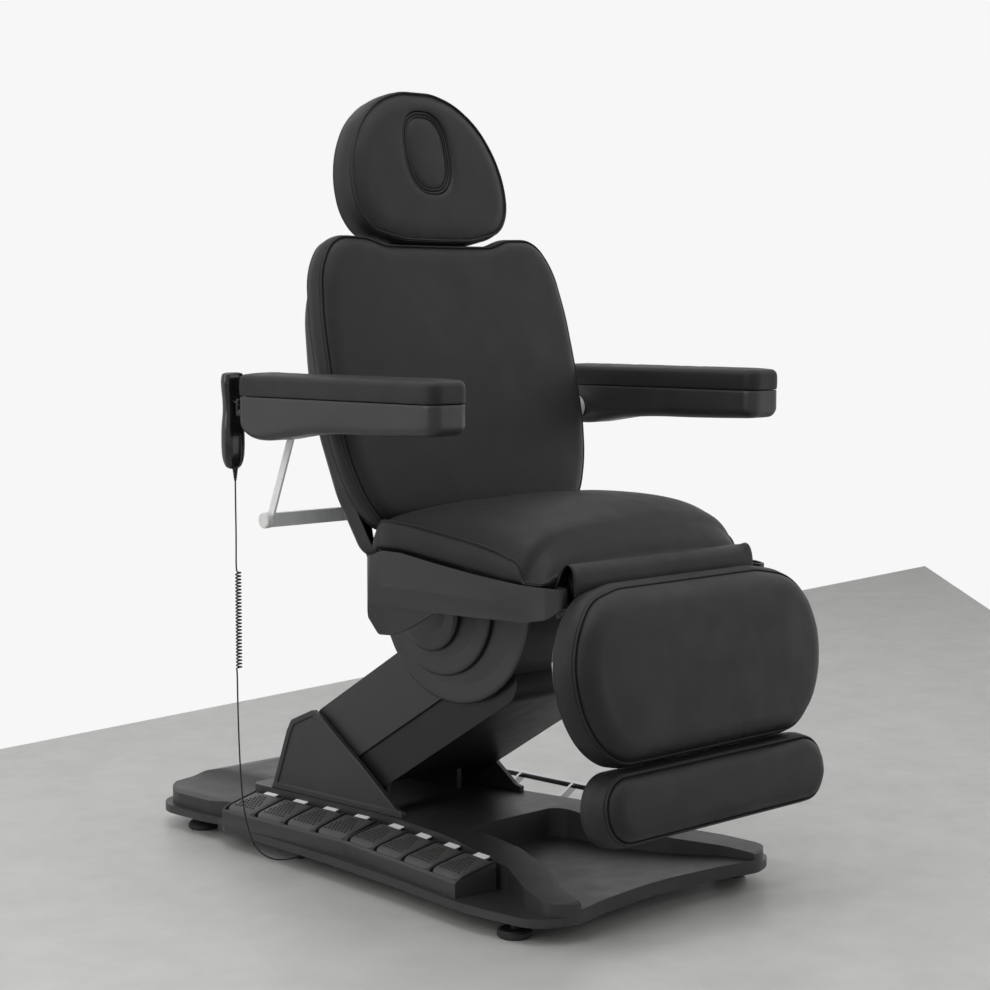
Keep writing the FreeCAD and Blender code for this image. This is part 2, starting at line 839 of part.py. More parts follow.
def pedal_bank(front):
    """One bank: a wedge with a pocket for each pedal and the pins that carry them."""
    length = pedals_per_bank * pedal_pitch
    wedge = [
        (-bank_inner, ledge_top, 0), (-bank_inner, bank_inner_top, pedal_proud),
        (-bank_inner - bank_depth, bank_outer_top, pedal_rib),
        (-bank_inner - bank_depth, ledge_top, 0),
    ]
    body = slab("xz", wedge, bank_rear_y - length, bank_rear_y)
    cuts = []
    pins = []
    pin_x = -bank_inner - bank_rim - pedal_pin_inset
    for index in range(pedals_per_bank):
        low, high = pedal_range(index)
        cuts.append(strip(bank_rim, bank_depth - bank_outer_wall, over, -pedal_pocket, low, high))
        pins.append(rod_y(pedal_pin_radius, pin_x, pedal_pin_height(), low - pedal_pin_root,
                          high + pedal_pin_root))
    body = body.cut(cuts).fuse(pins)
    return bank_place(body, front)


def pedal(index, front):
    """One rocking pedal with its pin bore."""
    low, high = pedal_range(index)
    low += pedal_gap
    high -= pedal_gap
    plate = strip(bank_rim + pedal_gap, bank_depth - bank_outer_wall - pedal_gap, pedal_proud,
                  pedal_proud - pedal_thickness, low, high)
    pin_x = -bank_inner - bank_rim - pedal_pin_inset
    bore = rod_y(pedal_pin_radius + run_clearance, pin_x, pedal_pin_height(), low - over,
                 high + over)
    return bank_place(plate.cut(bore), front)


def foot_bar():
    """The bright bar at the far side, on two arms with a hinge hub each."""
    bar = rod_y(foot_bar_radius, foot_bar_x, foot_bar_z, -foot_bar_half, foot_bar_half)
    pieces = [bar]
    for side in (-1, 1):
        y = side * foot_bar_arm_y
        pieces.append(hull("xz", [(foot_bar_hinge_x, foot_bar_hinge_z, foot_bar_hub_radius),
                                  (foot_bar_x, foot_bar_z, foot_bar_radius)],
                           y - foot_bar_arm_wall / 2, y + foot_bar_arm_wall / 2))
    bore = rod_y(foot_bar_pin_radius + run_clearance, foot_bar_hinge_x, foot_bar_hinge_z,
                 -base_length, base_length)
    return join(pieces).cut(bore)


def foot_bar_bracket():
    """Two ears on the ledge with the foot bar's hinge pin."""
    pin = rod_y(foot_bar_pin_radius, foot_bar_hinge_x, foot_bar_hinge_z,
                -foot_bar_arm_y - foot_bar_arm_wall * 2, foot_bar_arm_y + foot_bar_arm_wall * 2)
    pieces = [pin]
    for side in (-1, 1):
        y = side * (foot_bar_arm_y - foot_bar_ear_step)
        ear = hull("xz", [(foot_bar_hinge_x, foot_bar_hinge_z, foot_bar_hub_radius),
                          (foot_bar_hinge_x, ledge_top + foot_bar_hub_radius,
                           foot_bar_hub_radius)],
                   y - foot_bar_arm_wall / 2, y + foot_bar_arm_wall / 2)
        pieces.append(ear)
    half = foot_bar_arm_y - foot_bar_arm_wall
    pieces.append(block(foot_bar_hinge_x - foot_bar_hub_radius,
                        foot_bar_hinge_x + foot_bar_hub_radius * 2, -half, half, ledge_top,
                        ledge_top + foot_bar_arm_wall))
    return join(pieces)


# Lift

def lift_housing():
    """Two tall cheeks joined by a rear wall, open to the front and above for the links."""
    side = table(housing_side_shares, housing_length, housing_height, housing_front, plateau_top)
    inner = table(housing_inner_shares, housing_length, housing_height, housing_front,
                  plateau_top)
    body = slab("yz", side, -housing_half, housing_half)
    inside = housing_half - housing_cheek
    body = body.cut(slab("yz", inner, -inside, inside))
    recess = inset_slab("yz", side, housing_cheek, housing_half - housing_rim, base_half)
    return body.cut(both(recess))


def link_slab(base_y, base_z, points, x0, x1):
    """A slab across X whose outline is given along and across a link."""
    mapped = []
    for along, across, r in points:
        y, z = link_point(base_y, base_z, along, across)
        mapped.append((y, z, r))
    return slab("yz", mapped, x0, x1)


def link(base_y, base_z, cover_inside):
    """A pair of rails with eyes at both ends, joined by spacer tubes that reach the cover."""
    end_y, end_z = link_point(base_y, base_z, link_length, 0)
    rail = hull("yz", [(base_y, base_z, link_half_height), (end_y, end_z, link_half_height)],
                link_inner, link_outer)
    bores = []
    for y, z in ((base_y, base_z), (end_y, end_z)):
        bores.append(rod_x(lift_shaft_radius + run_clearance, y, z, 0, base_half))
    rail = rail.cut(bores)
    pieces = both(rail)
    for share in spacer_shares:
        y, z = link_point(base_y, base_z, link_length * share, 0)
        pieces.append(rod_x(spacer_radius, y, z, -cover_inside, cover_inside))
    return join(pieces)


def lower_cover():
    """A channel open to the top round the lower link, with a round nose at its upper end."""
    y0 = lower_pivot_y
    z0 = lower_pivot_z
    y1, z1 = link_point(y0, z0, link_length, 0)
    half = lower_cover_half
    inside = half - cover_wall
    flank = [(0, -lower_cover_below, 0), (link_length, -lower_cover_below, 0),
             (link_length, lower_cover_above, 0), (0, lower_cover_above, 0)]
    outer = join([link_slab(y0, z0, flank, -half, half),
                  rod_x(lower_cover_above, y0, z0, -half, half),
                  rod_x(lower_cover_below, y1, z1, -half, half)])
    floor = cover_wall - lower_cover_below
    far = link_length + lower_cover_below * 2
    rear = [(-lower_cover_below * 2, -lower_cover_below * 2, 0),
            (lower_cover_floor_start, -lower_cover_below * 2, 0),
            (lower_cover_floor_start, lower_cover_below * 2, 0),
            (-lower_cover_below * 2, lower_cover_below * 2, 0)]
    middle = [(0, floor, 0), (link_length, floor, 0), (link_length, lower_cover_below * 2, 0),
              (0, lower_cover_below * 2, 0)]
    top = [(0, lower_cover_nose_top, 0), (far, lower_cover_nose_top, 0),
           (far, lower_cover_below * 2, 0), (0, lower_cover_below * 2, 0)]
    cuts = [link_slab(y0, z0, points, -inside, inside) for points in (rear, middle, top)]
    cuts.append(rod_x(lower_cover_below - cover_wall, y1, z1, -inside, inside))
    return outer.cut(cuts)


def upper_cover():
    """A channel open to the floor round the upper link, over the lower cover's flanks."""
    y0, z0 = upper_pivot()
    y1, z1 = link_point(y0, z0, link_length, 0)
    half = upper_cover_half
    inside = half - cover_wall
    flank = [(0, -upper_cover_below, upper_cover_above), (link_length, -upper_cover_below,
                                                          upper_cover_above),
             (link_length, upper_cover_above, 0), (0, upper_cover_above, 0)]
    outer = join([link_slab(y0, z0, flank, -half, half),
                  rod_x(upper_cover_above, y0, z0, -half, half),
                  rod_x(upper_cover_above, y1, z1, -half, half)])
    deep = upper_cover_below * 2
    roof = upper_cover_above - cover_wall
    under = [(-deep, -deep, 0), (link_length, -deep, 0), (link_length, roof, 0), (-deep, roof, 0)]
    front = [(upper_cover_roof_end, -deep, 0), (link_length + deep, -deep, 0),
             (link_length + deep, deep, 0), (upper_cover_roof_end, deep, 0)]
    rear = [(-deep, -deep, 0), (upper_cover_roof_start, -deep, 0),
            (upper_cover_roof_start, deep, 0), (-deep, deep, 0)]
    cuts = [link_slab(y0, z0, points, -inside, inside) for points in (under, front, rear)]
    return outer.cut(cuts)


def carriage():
    """The head that the two links keep level: plates, link shafts and the tilt shaft."""
    low_y, low_z = link_point(lower_pivot_y, lower_pivot_z, link_length, 0)
    up_y, up_z = low_y + pivot_offset_y, low_z + pivot_offset_z
    r = carriage_boss_radius
    plate = hull("yz", [(low_y, low_z, r), (up_y, up_z, r), (tilt_y, tilt_z, r)], bracket_inner,
                 bracket_outer)
    pieces = both(plate)
    for y, z in ((low_y, low_z), (up_y, up_z)):
        pieces.append(rod_x(lift_shaft_radius, y, z, -lift_shaft_reach, lift_shaft_reach))
    pieces.append(rod_x(tilt_tube_radius, tilt_y, tilt_z, -bracket_inner, bracket_inner))
    pieces.append(rod_x(tilt_shaft_radius, tilt_y, tilt_z, -tilt_shaft_reach, tilt_shaft_reach))
    return join(pieces)


def sector(y, z, radius, start, end, x0, x1):
    """A round segment about (y, z); 180 degrees points to the front, 270 down."""
    arm = radius
    steps = [(y, z, 0)]
    for share in (0.0, 1.0):
        angle = math.radians(start + (end - start) * share)
        steps.append((y + arm * math.cos(angle), z + arm * math.sin(angle), 0))
    middle = math.radians((start + end) / 2)
    top = V(x0, y + arm * math.cos(middle), z + arm * math.sin(middle))
    first = V(x0, steps[1][0], steps[1][1])
    last = V(x0, steps[2][0], steps[2][1])
    centre = V(x0, y, z)
    wire = Part.Wire([Part.makeLine(centre, first), Part.Arc(first, top, last).toShape(),
                      Part.makeLine(last, centre)])
    return Part.Face(wire).extrude(axis_x * (x1 - x0))


def fan_lower():
    """The largest fan cover, fixed to the carriage: two flanks and a round front wall."""
    x0 = fan_first
    x1 = fan_first + fan_wall
    hub = rod_x(fan_hub_radius, tilt_y, tilt_z, x0, x1)
    flank = sector(tilt_y, tilt_z, fan_lower_radius, fan_front_angle, fan_lower_end, x0, x1).fuse(hub)
    flank = flank.cut(rod_x(tilt_shaft_radius, tilt_y, tilt_z, 0, base_half))
    wall = sector(tilt_y, tilt_z, fan_lower_radius, fan_front_angle, fan_front_wall_end, -x0, x0)
    wall = wall.cut(rod_x(fan_lower_radius - fan_wall, tilt_y, tilt_z, -x0, x0))
    return join(both(flank) + [wall])


def fan_middle():
    """The middle fan covers, which turn by half the tilt on the tilt shaft."""
    x0 = fan_first + fan_pitch
    x1 = x0 + fan_wall
    hub = rod_x(fan_hub_radius, tilt_y, tilt_z, x0, x1)
    flank = sector(fan_middle_y, fan_middle_z, fan_middle_radius, fan_front_angle,
                   fan_middle_end, x0, x1).fuse(hub)
    flank = flank.cut(rod_x(tilt_shaft_radius + run_clearance, tilt_y, tilt_z, 0, base_half))
    return group(both(flank))


def fan_upper():
    """The smallest fan covers, hung from the seat frame by a flange."""
    x0 = fan_first + fan_pitch * 2
    x1 = x0 + fan_wall
    flank = sector(fan_upper_y, fan_upper_z, fan_upper_radius, fan_front_angle,
                   fan_rear_angle, x0, x1)
    reach = tilt_bracket_half + seat_beam
    top = block(x0, x1, tilt_y - reach, tilt_y + reach, fan_upper_z, seat_frame_bottom)
    flange = block(x0, x1 + fan_flange, tilt_y - reach, tilt_y + reach,
                   seat_frame_bottom - fan_wall, seat_frame_bottom)
    return group(both(join([flank, top, flange])))


# Seat

def seat_beam_block(y0):
    """A square cross tube of the seat frame, starting at y0."""
    points = rectangle(y0, y0 + seat_beam, seat_frame_bottom, seat_frame_top)
    return box_tube("yz", points, seat_tube_wall, -seat_rail_inner, seat_rail_inner)


def seat_frame():
    """Side rails, cross tubes, tilt brackets, the leg hinge tube and the back hinge brackets."""
    rail = rectangle(seat_rail_inner, seat_rail_outer, seat_frame_bottom, seat_frame_top)
    pieces = both(box_tube("xz", rail, seat_tube_wall, seat_rail_front, seat_rail_rear))
    half = tilt_bracket_half
    starts = [seat_rail_front, tilt_y - half - seat_beam, tilt_y + half, seat_rail_rear - seat_beam]
    pieces += [seat_beam_block(start) for start in starts]
    bracket = join([
        block(tilt_bracket_inner, tilt_bracket_outer, tilt_y - half, tilt_y + half,
              seat_frame_bottom, seat_frame_top),
        hull("yz", [(tilt_y, tilt_z, tilt_boss_radius), (tilt_y, seat_frame_bottom + over,
                                                         tilt_boss_radius)],
             tilt_bracket_inner, tilt_bracket_outer),
    ])
    bore = rod_x(tilt_shaft_radius + run_clearance, tilt_y, tilt_z, 0, base_half)
    pieces += both(bracket.cut(bore))
    root = lug_root_radius
    lug = hull("yz", [(seat_rail_front + root, seat_frame_bottom + root, root),
                      (leg_hinge_y, leg_hinge_z, seat_lug_radius)], seat_lug_inner,
               seat_lug_outer)
    pieces += both(lug)
    pieces.append(rod_x(hinge_tube_radius, leg_hinge_y, leg_hinge_z, -hinge_tube_reach,
                        hinge_tube_reach))
    rear_root = rear_bracket_root_radius
    rear = hull("yz", [(rear_bracket_root, seat_frame_bottom + rear_root, rear_root),
                       (back_hinge_y, back_hinge_z, back_hub_radius)], rear_bracket_inner,
                rear_bracket_outer)
    pin = rod_x(back_pin_radius, back_hinge_y, back_hinge_z, back_rail_inner, rear_bracket_outer)
    pieces += both(rear.fuse(pin))
    link_y, link_z = link_pivot()
    arm = hull("yz", [(back_hinge_y, back_hinge_z, back_hub_radius),
                      (link_y, link_z, level_link_width / 2)], rear_bracket_inner,
               rear_bracket_outer)
    pieces.append(arm)
    pieces.append(rod_x(level_pin_radius, link_y, link_z, level_link_inner, rear_bracket_outer))
    return join(pieces)


def link_pivot():
    """The lower end of the level link on the seat's bracket."""
    return back_hinge_y + link_pivot_back, back_hinge_z - link_pivot_drop


def bar_centre():
    """The crossbar behind the back."""
    return arm_pivot_y + link_pivot_back, arm_pivot_z - link_pivot_drop


def seat_shell():
    """The moulded lower shell: a skirt round the seat frame with a rear opening for the lift."""
    side = table(seat_side_shares, seat_length, seat_shell_height, seat_front,
                 seat_shell_bottom)
    plan = mirrored(table(seat_plan_shares, seat_half, seat_length, 0, seat_front))
    front = mirrored(table(seat_front_shares, seat_half, seat_shell_height, 0,
                           seat_shell_bottom))
    low = seat_shell_bottom - over
    high = seat_shell_bottom + seat_shell_height + over
    across = slab("yz", side, -seat_half, seat_half)
    outer = slab("xy", plan, low, high).common(slab("xz", front, seat_front - over, over))
    inner = inset_slab("xy", plan, seat_shell_wall, low, high)
    inner = inner.common(inset_slab("xz", front, seat_shell_wall, seat_front - over, over))
    body = outer.cut(inner).common(across)
    cut = block(-seat_cut_half, seat_cut_half, seat_rail_rear, over, low, seat_cut_top)
    inside = slot_clearance * slot_half_extra
    notch = block(back_rail_inner - inside, rear_bracket_outer + inside, seat_rail_rear, over,
                  seat_frame_bottom, high)
    lug_slot = block(seat_lug_inner - inside, seat_lug_outer + inside, seat_front,
                     seat_rail_front + inside, seat_frame_bottom - inside, high)
    body = body.cut([cut] + both(notch) + both(lug_slot))
    tabs = []
    for share in seat_tab_shares:
        y = seat_front + seat_length * share
        tab = block(seat_rail_outer, seat_half, y - seat_beam, y + seat_beam, seat_frame_bottom,
                    seat_frame_bottom + seat_tab_height)
        tabs += both(tab.common(outer))
    return join([body] + tabs)


def seat_board():
    """The plywood board under the seat cushion."""
    points = rectangle(-seat_board_half, seat_board_half, seat_board_front, seat_rail_rear,
                       board_corner)
    return slab("xy", points, seat_frame_top, seat_frame_top + board_thickness)


def cushion_section(shares):
    """One section across the seat cushion: flat under side, bulged flanks, crowned top."""
    along, wide, under, seam, crown = shares
    y = seat_front + seat_length * along
    half = seat_half * wide
    base = seat_frame_top + board_thickness + part_clearance
    low = base + cushion_height * under
    mid = base + cushion_height * (under + seam) / 2
    high = base + cushion_height * seam
    top = base + cushion_height * crown
    inner = half - cushion_bulge
    edges = [
        Part.makeLine(V(-inner, y, low), V(inner, y, low)),
        Part.Arc(V(inner, y, low), V(half, y, mid), V(inner, y, high)).toShape(),
        Part.Arc(V(inner, y, high), V(0, y, top), V(-inner, y, high)).toShape(),
        Part.Arc(V(-inner, y, high), V(-half, y, mid), V(-inner, y, low)).toShape(),
    ]
    return Part.Wire(edges)


def seat_cushion():
    """The crowned seat pad, lofted from rear to front, with its core down to the board."""
    wires = [cushion_section(shares) for shares in cushion_section_shares]
    body = Part.makeLoft(wires, True, False)
    base = seat_frame_top + board_thickness + part_clearance
    points = rectangle(-seat_core_half, seat_core_half, seat_core_front, seat_core_rear,
                       board_corner)
    core = slab("xy", points, base, base + core_height)
    return join([body, core])


def seat_flap():
    """The upholstered strip that falls over the leg hinge at the seat's front."""
    start = math.radians(flap_start)
    end = math.radians(flap_end)
    middle = (start + end) / 2
    ring = []
    for radius in (flap_outer, flap_inner):
        arc = [V(-flap_half, leg_hinge_y + radius * math.cos(a), leg_hinge_z + radius * math.sin(a))
               for a in (start, middle, end)]
        ring.append(arc)
    outer, inner = ring
    wire = Part.Wire([Part.Arc(*outer).toShape(), Part.makeLine(outer[2], inner[2]),
                      Part.Arc(*inner).toShape(), Part.makeLine(inner[0], outer[0])])
    strip_body = Part.Face(wire).extrude(axis_x * flap_half * 2)
    notch = block(leg_lug_inner - flap_notch_side, leg_lug_outer + flap_notch_side,
                  leg_hinge_y - flap_outer - over, leg_hinge_y + flap_notch_rear,
                  leg_hinge_z - flap_outer - over, leg_hinge_z + flap_notch_rise)
    return strip_body.cut(both(notch))


# Legrest

def leg_hinge_local():
    """The leg hinge in the leg's frame."""
    return local(leg_hinge_y, leg_hinge_z, leg_origin_y, leg_origin_z, leg_angle)


def leg_frame():
    """Two rails hung on the hinge tube, the board and the guides of the sliding foot flats."""
    hinge_y, hinge_z = leg_hinge_local()
    back = -leg_rail_back
    front = -board_thickness - part_clearance
    level = (back + front) / 2
    radius = (front - back) / 2
    rail = hull("yz", [(leg_rail_bottom, level, radius), (leg_board_top, level, radius),
                       (hinge_y, hinge_z, leg_lug_radius)], leg_lug_inner, leg_lug_outer)
    rail = rail.cut(rod_x(hinge_tube_radius + run_clearance, hinge_y, hinge_z, 0, base_half))
    pieces = both(rail)
    guide_half = foot_flat_thickness / 2 + part_clearance
    for top in foot_guide_tops:
        beam = block(-leg_lug_outer, leg_lug_outer, top - foot_guide_length, top, back, front)
        for sleeve in both(block(foot_bar_inner - part_clearance, foot_bar_outer + part_clearance,
                                 top - leg_height, top + leg_height,
                                 foot_flat_level - guide_half, foot_flat_level + guide_half)):
            beam = beam.cut(sleeve)
        pieces.append(beam)
    board = slab("xy", rectangle(-leg_board_half, leg_board_half, leg_board_bottom,
                                 leg_board_top, over * 2), front, -part_clearance)
    return in_leg(join(pieces + [board]))


def leg_shell():
    """The moulded cover behind the leg pad, open to the front."""
    plan = mirrored(table(leg_shell_plan_shares, leg_shell_half, leg_height))
    side = [(a, -b, r) for a, b, r in table(leg_shell_side_shares, leg_height,
                                             leg_pad_thickness)]
    outer = slab("xy", plan, -leg_pad_thickness, 0).common(
        slab("yz", side, -leg_half, leg_half))
    raised = [(a, b + leg_shell_wall, r) for a, b, r in side]
    inner = inset_slab("xy", plan, leg_shell_wall, -leg_pad_thickness, over)
    inner = inner.common(slab("yz", raised, -leg_half, leg_half))
    gap = slot_clearance * slot_half_extra
    lug_slot = block(leg_lug_inner - gap, leg_lug_outer + gap, leg_shell_slot_low, over,
                     -leg_pad_thickness, over)
    flat_slot = block(foot_bar_inner - gap, foot_bar_outer + gap, -leg_height, leg_board_bottom,
                      foot_flat_level - foot_flat_thickness / 2 - gap, over)
    return in_leg(outer.cut(inner).cut(both(lug_slot) + both(flat_slot)))


def pad_levels(thickness, crown):
    """Levels of a pad that bulges to its seam and crowns over the top."""
    levels = [(thickness * height, thickness * inset) for height, inset in pad_side_shares]
    for height, inset in pad_crown_shares:
        levels.append((thickness + crown * height, thickness * inset))
    return levels


def leg_cushion():
    """The large rounded leg pad."""
    plan = mirrored(table(leg_plan_shares, leg_half, leg_height))
    return in_leg(pad(plan, pad_levels(leg_pad_thickness, leg_pad_crown)))


def foot_frame():
    """Two flats that slide in the leg's guides, and the plate under the foot pad."""
    low = foot_flat_level - foot_flat_thickness / 2
    high = foot_flat_level + foot_flat_thickness / 2
    middle = (foot_pad_top + foot_pad_bottom) / 2
    flats = both(block(foot_bar_inner, foot_bar_outer, middle, foot_flat_top, low, high))
    plate = slab("xy", rectangle(-foot_plate_half, foot_plate_half,
                                 foot_pad_bottom + over, foot_pad_top - over, over * 2),
                 low, -part_clearance)
    return in_leg(join(flats + [plate]))


def foot_cushion():
    """The long foot pad with nearly round ends."""
    r = foot_pad_corner
    plan = [(-foot_pad_half, foot_pad_bottom, r), (foot_pad_half, foot_pad_bottom, r),
            (foot_pad_half, foot_pad_top, r), (-foot_pad_half, foot_pad_top, r)]
    levels = pad_levels(leg_pad_thickness, leg_pad_crown)
    tight = [(height, inset / 2) for height, inset in levels]
    return in_leg(pad(plan, tight))


# Backrest

def back_point(y, z):
    """A chair point in the back's frame."""
    return local(y, z, back_origin_y, back_origin_z, back_angle)


def back_frame():
    """Rails with hinge hubs, cross tubes and the headrest sockets."""
    hinge_y, hinge_z = back_point(back_hinge_y, back_hinge_z)
    front = -board_thickness - part_clearance
    level = (-back_rail_back + front) / 2
    radius = (back_rail_back + front) / 2
    rail = hull("yz", [(back_rail_top, level, radius), (over * 2, level, radius),
                       (hinge_y, hinge_z, back_hub_radius)], back_rail_inner, back_rail_outer)
    pivot_y, pivot_z = back_point(arm_pivot_y, arm_pivot_z)
    rail = rail.cut([rod_x(back_pin_radius + run_clearance, hinge_y, hinge_z, 0, base_half),
                     rod_x(arm_shaft_radius, pivot_y, pivot_z, 0, base_half)])
    pieces = both(rail)
    for place in back_tube_places:
        pieces.append(rod_x(back_tube_radius, place, level, -back_rail_inner, back_rail_inner))
    socket = Part.makeCylinder(socket_outer, socket_top - socket_bottom,
                               V(socket_x, socket_bottom, socket_level), axis_y)
    body = join(pieces + both(socket))
    bore = Part.makeCylinder(post_radius + run_clearance, back_height,
                             V(socket_x, socket_bottom, socket_level), axis_y)
    return in_back(body.cut(both(bore)))


def back_board():
    """The board behind the back cushion."""
    plan = mirrored(table(back_plan_shares, back_half, back_height))
    front = -part_clearance
    board = inset_slab("xy", plan, back_board_inset, front - board_thickness, front)
    return in_back(board)


def rim_edges(body):
    """The edges round a back cover's rear face."""
    return [e for e in body.Edges if e.BoundBox.ZMax < -back_shell_depth / 2]


def back_shell():
    """The moulded back cover with slots for the hinge rails, the arm shaft and the sockets."""
    plan = mirrored(table(back_shell_plan_shares, back_shell_half, back_height))
    outer = slab("xy", plan, -back_shell_depth, -part_clearance)
    outer = outer.makeFillet(back_shell_round, rim_edges(outer))
    inner = inset_slab("xy", plan, back_shell_wall, back_shell_wall - back_shell_depth, over)
    inner = inner.makeFillet(back_shell_round - back_shell_wall, rim_edges(inner))
    body = outer.cut(inner)
    gap = slot_clearance * slot_half_extra
    slot_top = back_slot_top
    slot = block(back_rail_inner - gap, rear_bracket_outer + gap, -back_height, slot_top,
                 -back_shell_depth - over, -board_thickness)
    pivot_y, pivot_z = back_point(arm_pivot_y, arm_pivot_z)
    shaft = rod_x(arm_shaft_radius + part_clearance, pivot_y, pivot_z, back_rail_outer,
                  back_half + over)
    socket = Part.makeCylinder(socket_outer + part_clearance, back_height,
                               V(socket_x, back_rail_top, socket_level), axis_y)
    return in_back(body.cut(both(slot) + both(shaft) + both(socket)))


def back_cushion():
    """The wide back pad."""
    plan = mirrored(table(back_plan_shares, back_half, back_height))
    return in_back(pad(plan, pad_levels(back_pad_thickness, back_pad_crown)))


def arm_shaft():
    """The shaft across the back that both armrests turn on."""
    return rod_x(arm_shaft_radius, arm_pivot_y, arm_pivot_z, -arm_shaft_reach, arm_shaft_reach)


# Headrest

def head_posts():
    """Two posts joined by the headrest's hinge pin."""
    posts = both(Part.makeCylinder(post_radius, head_hinge - post_bottom,
                                   V(socket_x, post_bottom, socket_level), axis_y))
    pin = rod_x(head_pin_radius, head_hinge, socket_level, -head_pin_reach, head_pin_reach)
    return in_back(join(posts + [pin]))


def face_oval(grow, low, high):
    """The oval of the face hole, grown all round."""
    oval = Part.Ellipse(V(0, face_centre + face_half_height + grow, low),
                        V(face_half_width + grow, face_centre, low), V(0, face_centre, low))
    face = Part.Face(Part.Wire([oval.toShape()]))
    return face.extrude(axis_z * (high - low))


def head_plan():
    """The headrest's outline."""
    return mirrored(table(head_plan_shares, head_half, head_height, 0, head_bottom))


def head_board():
    """The board of the headrest with its two hinge lugs."""
    board = inset_slab("xy", head_plan(), head_board_inset, -head_board_back, -part_clearance)
    board = board.cut(face_oval(0, -over * 2, over))
    lug = hull("yz", [(head_hinge, socket_level, head_lug_radius),
                      (head_hinge, -head_board_back / 2, head_board_back / 2)],
               head_lug_inner, head_lug_outer)
    bore = rod_x(head_pin_radius + run_clearance, head_hinge, socket_level, 0, base_half)
    return in_back(join([board] + both(lug.cut(bore))))


def head_cushion():
    """The rounded head pad with its oval face hole."""
    body = pad(head_plan(), pad_levels(head_thickness, head_crown))
    return in_back(body.cut(face_oval(0, -over, head_thickness + over * 3)))


def face_plug():
    """The removable plug of the face hole."""
    top = head_thickness + head_crown
    body = face_oval(-face_clearance, -head_board_back, top)
    edge = [e for e in body.Edges if e.BoundBox.ZMin > top - 1]
    return in_back(body.makeFillet(face_plug_round, edge))


# Armrests

def arm_frame():
    """Hub plates, flat struts and the crossbar that hold both armrests as one piece."""
    hub = rod_x(arm_hub_radius, arm_pivot_y, arm_pivot_z, hub_inner, arm_inner)
    bar_y, bar_z = bar_centre()
    lean = math.degrees(math.atan2(bar_z - arm_pivot_z, bar_y - arm_pivot_y))
    run = math.hypot(bar_z - arm_pivot_z, bar_y - arm_pivot_y)
    strut = block(arm_inner - strut_thickness, arm_inner, 0, run + strut_width / 2,
                  -strut_width / 2, strut_width / 2)
    strut = turned(strut, arm_pivot_y, arm_pivot_z, lean)
    bar = block(-arm_inner, arm_inner, bar_y - bar_depth / 2, bar_y + bar_depth / 2,
                bar_z - bar_height / 2, bar_z + bar_height / 2)
    bore = rod_x(arm_shaft_radius + run_clearance, arm_pivot_y, arm_pivot_z, hub_inner - over,
                 arm_inner)
    side = hub.fuse(strut).cut(bore)
    return join(both(side) + [bar])


def arm_bar_caps():
    """White round caps on the crossbar's ends."""
    bar_y, bar_z = bar_centre()
    cap = rod_x(cap_radius, bar_y, bar_z, arm_inner, arm_inner + cap_length)
    outer = [e for e in cap.Edges if e.BoundBox.XMin > arm_inner + cap_length / 2]
    return group(both(cap.makeFillet(cap_round, outer)))


def level_link():
    """The link that keeps the armrests level, on the far side behind the back."""
    low_y, low_z = link_pivot()
    bar_y, bar_z = bar_centre()
    x0 = level_link_inner
    x1 = level_link_inner + level_link_thickness
    body = hull("yz", [(low_y, low_z, level_link_width / 2), (bar_y, bar_z, level_link_ring)],
                x0, x1)
    return body.cut([rod_x(level_pin_radius + run_clearance, low_y, low_z, 0, base_half),
                     rod_x(level_link_bore, bar_y, bar_z, 0, base_half)])


def arm_plan():
    """The armrest's outline seen from above."""
    return table(arm_plan_shares, arm_outer - arm_inner, arm_length, arm_inner, arm_front)


def armrest_shell(near):
    """A moulded tray under the arm pad, with the deep boss over the hub."""
    side = table(arm_side_shares, arm_length, arm_shell_depth, arm_front,
                 arm_seam - arm_shell_depth)
    width = arm_outer - arm_inner
    outer = slab("xy", arm_plan(), arm_seam - arm_shell_depth, arm_seam).common(
        slab("yz", side, arm_inner, arm_outer))
    raised = [(a, b + arm_shell_wall, r) for a, b, r in side]
    inner = inset_slab("xy", arm_plan(), arm_shell_wall, arm_seam - arm_shell_depth,
                       arm_seam + over)
    inner = inner.common(slab("yz", raised, arm_inner, arm_inner + width))
    body = outer.cut(inner)
    if not near:
        return body
    x0 = -handset_x - hook_width / 2
    x1 = -handset_x + hook_width / 2
    peg = block(x0, x1, arm_rear - hook_root, hook_reach, hook_low, hook_floor)
    tongue = block(x0, x1, hook_reach - hook_thickness, hook_reach, hook_low, hook_tip)
    return flip(join([body, peg, tongue]))


def armrest_cushion(near):
    """The padded top of one armrest."""
    width = arm_outer - arm_inner
    middle = (arm_inner + arm_outer) / 2
    plan = [(a - middle, b, r) for a, b, r in arm_plan()]
    thickness = arm_top - arm_seam
    levels = [(arm_seam + thickness * height, width * inset) for height, inset in arm_pad_shares]
    body = pad(plan, levels)
    body.translate(V(middle, 0, 0))
    return flip(body) if near else body


# Handset and cord

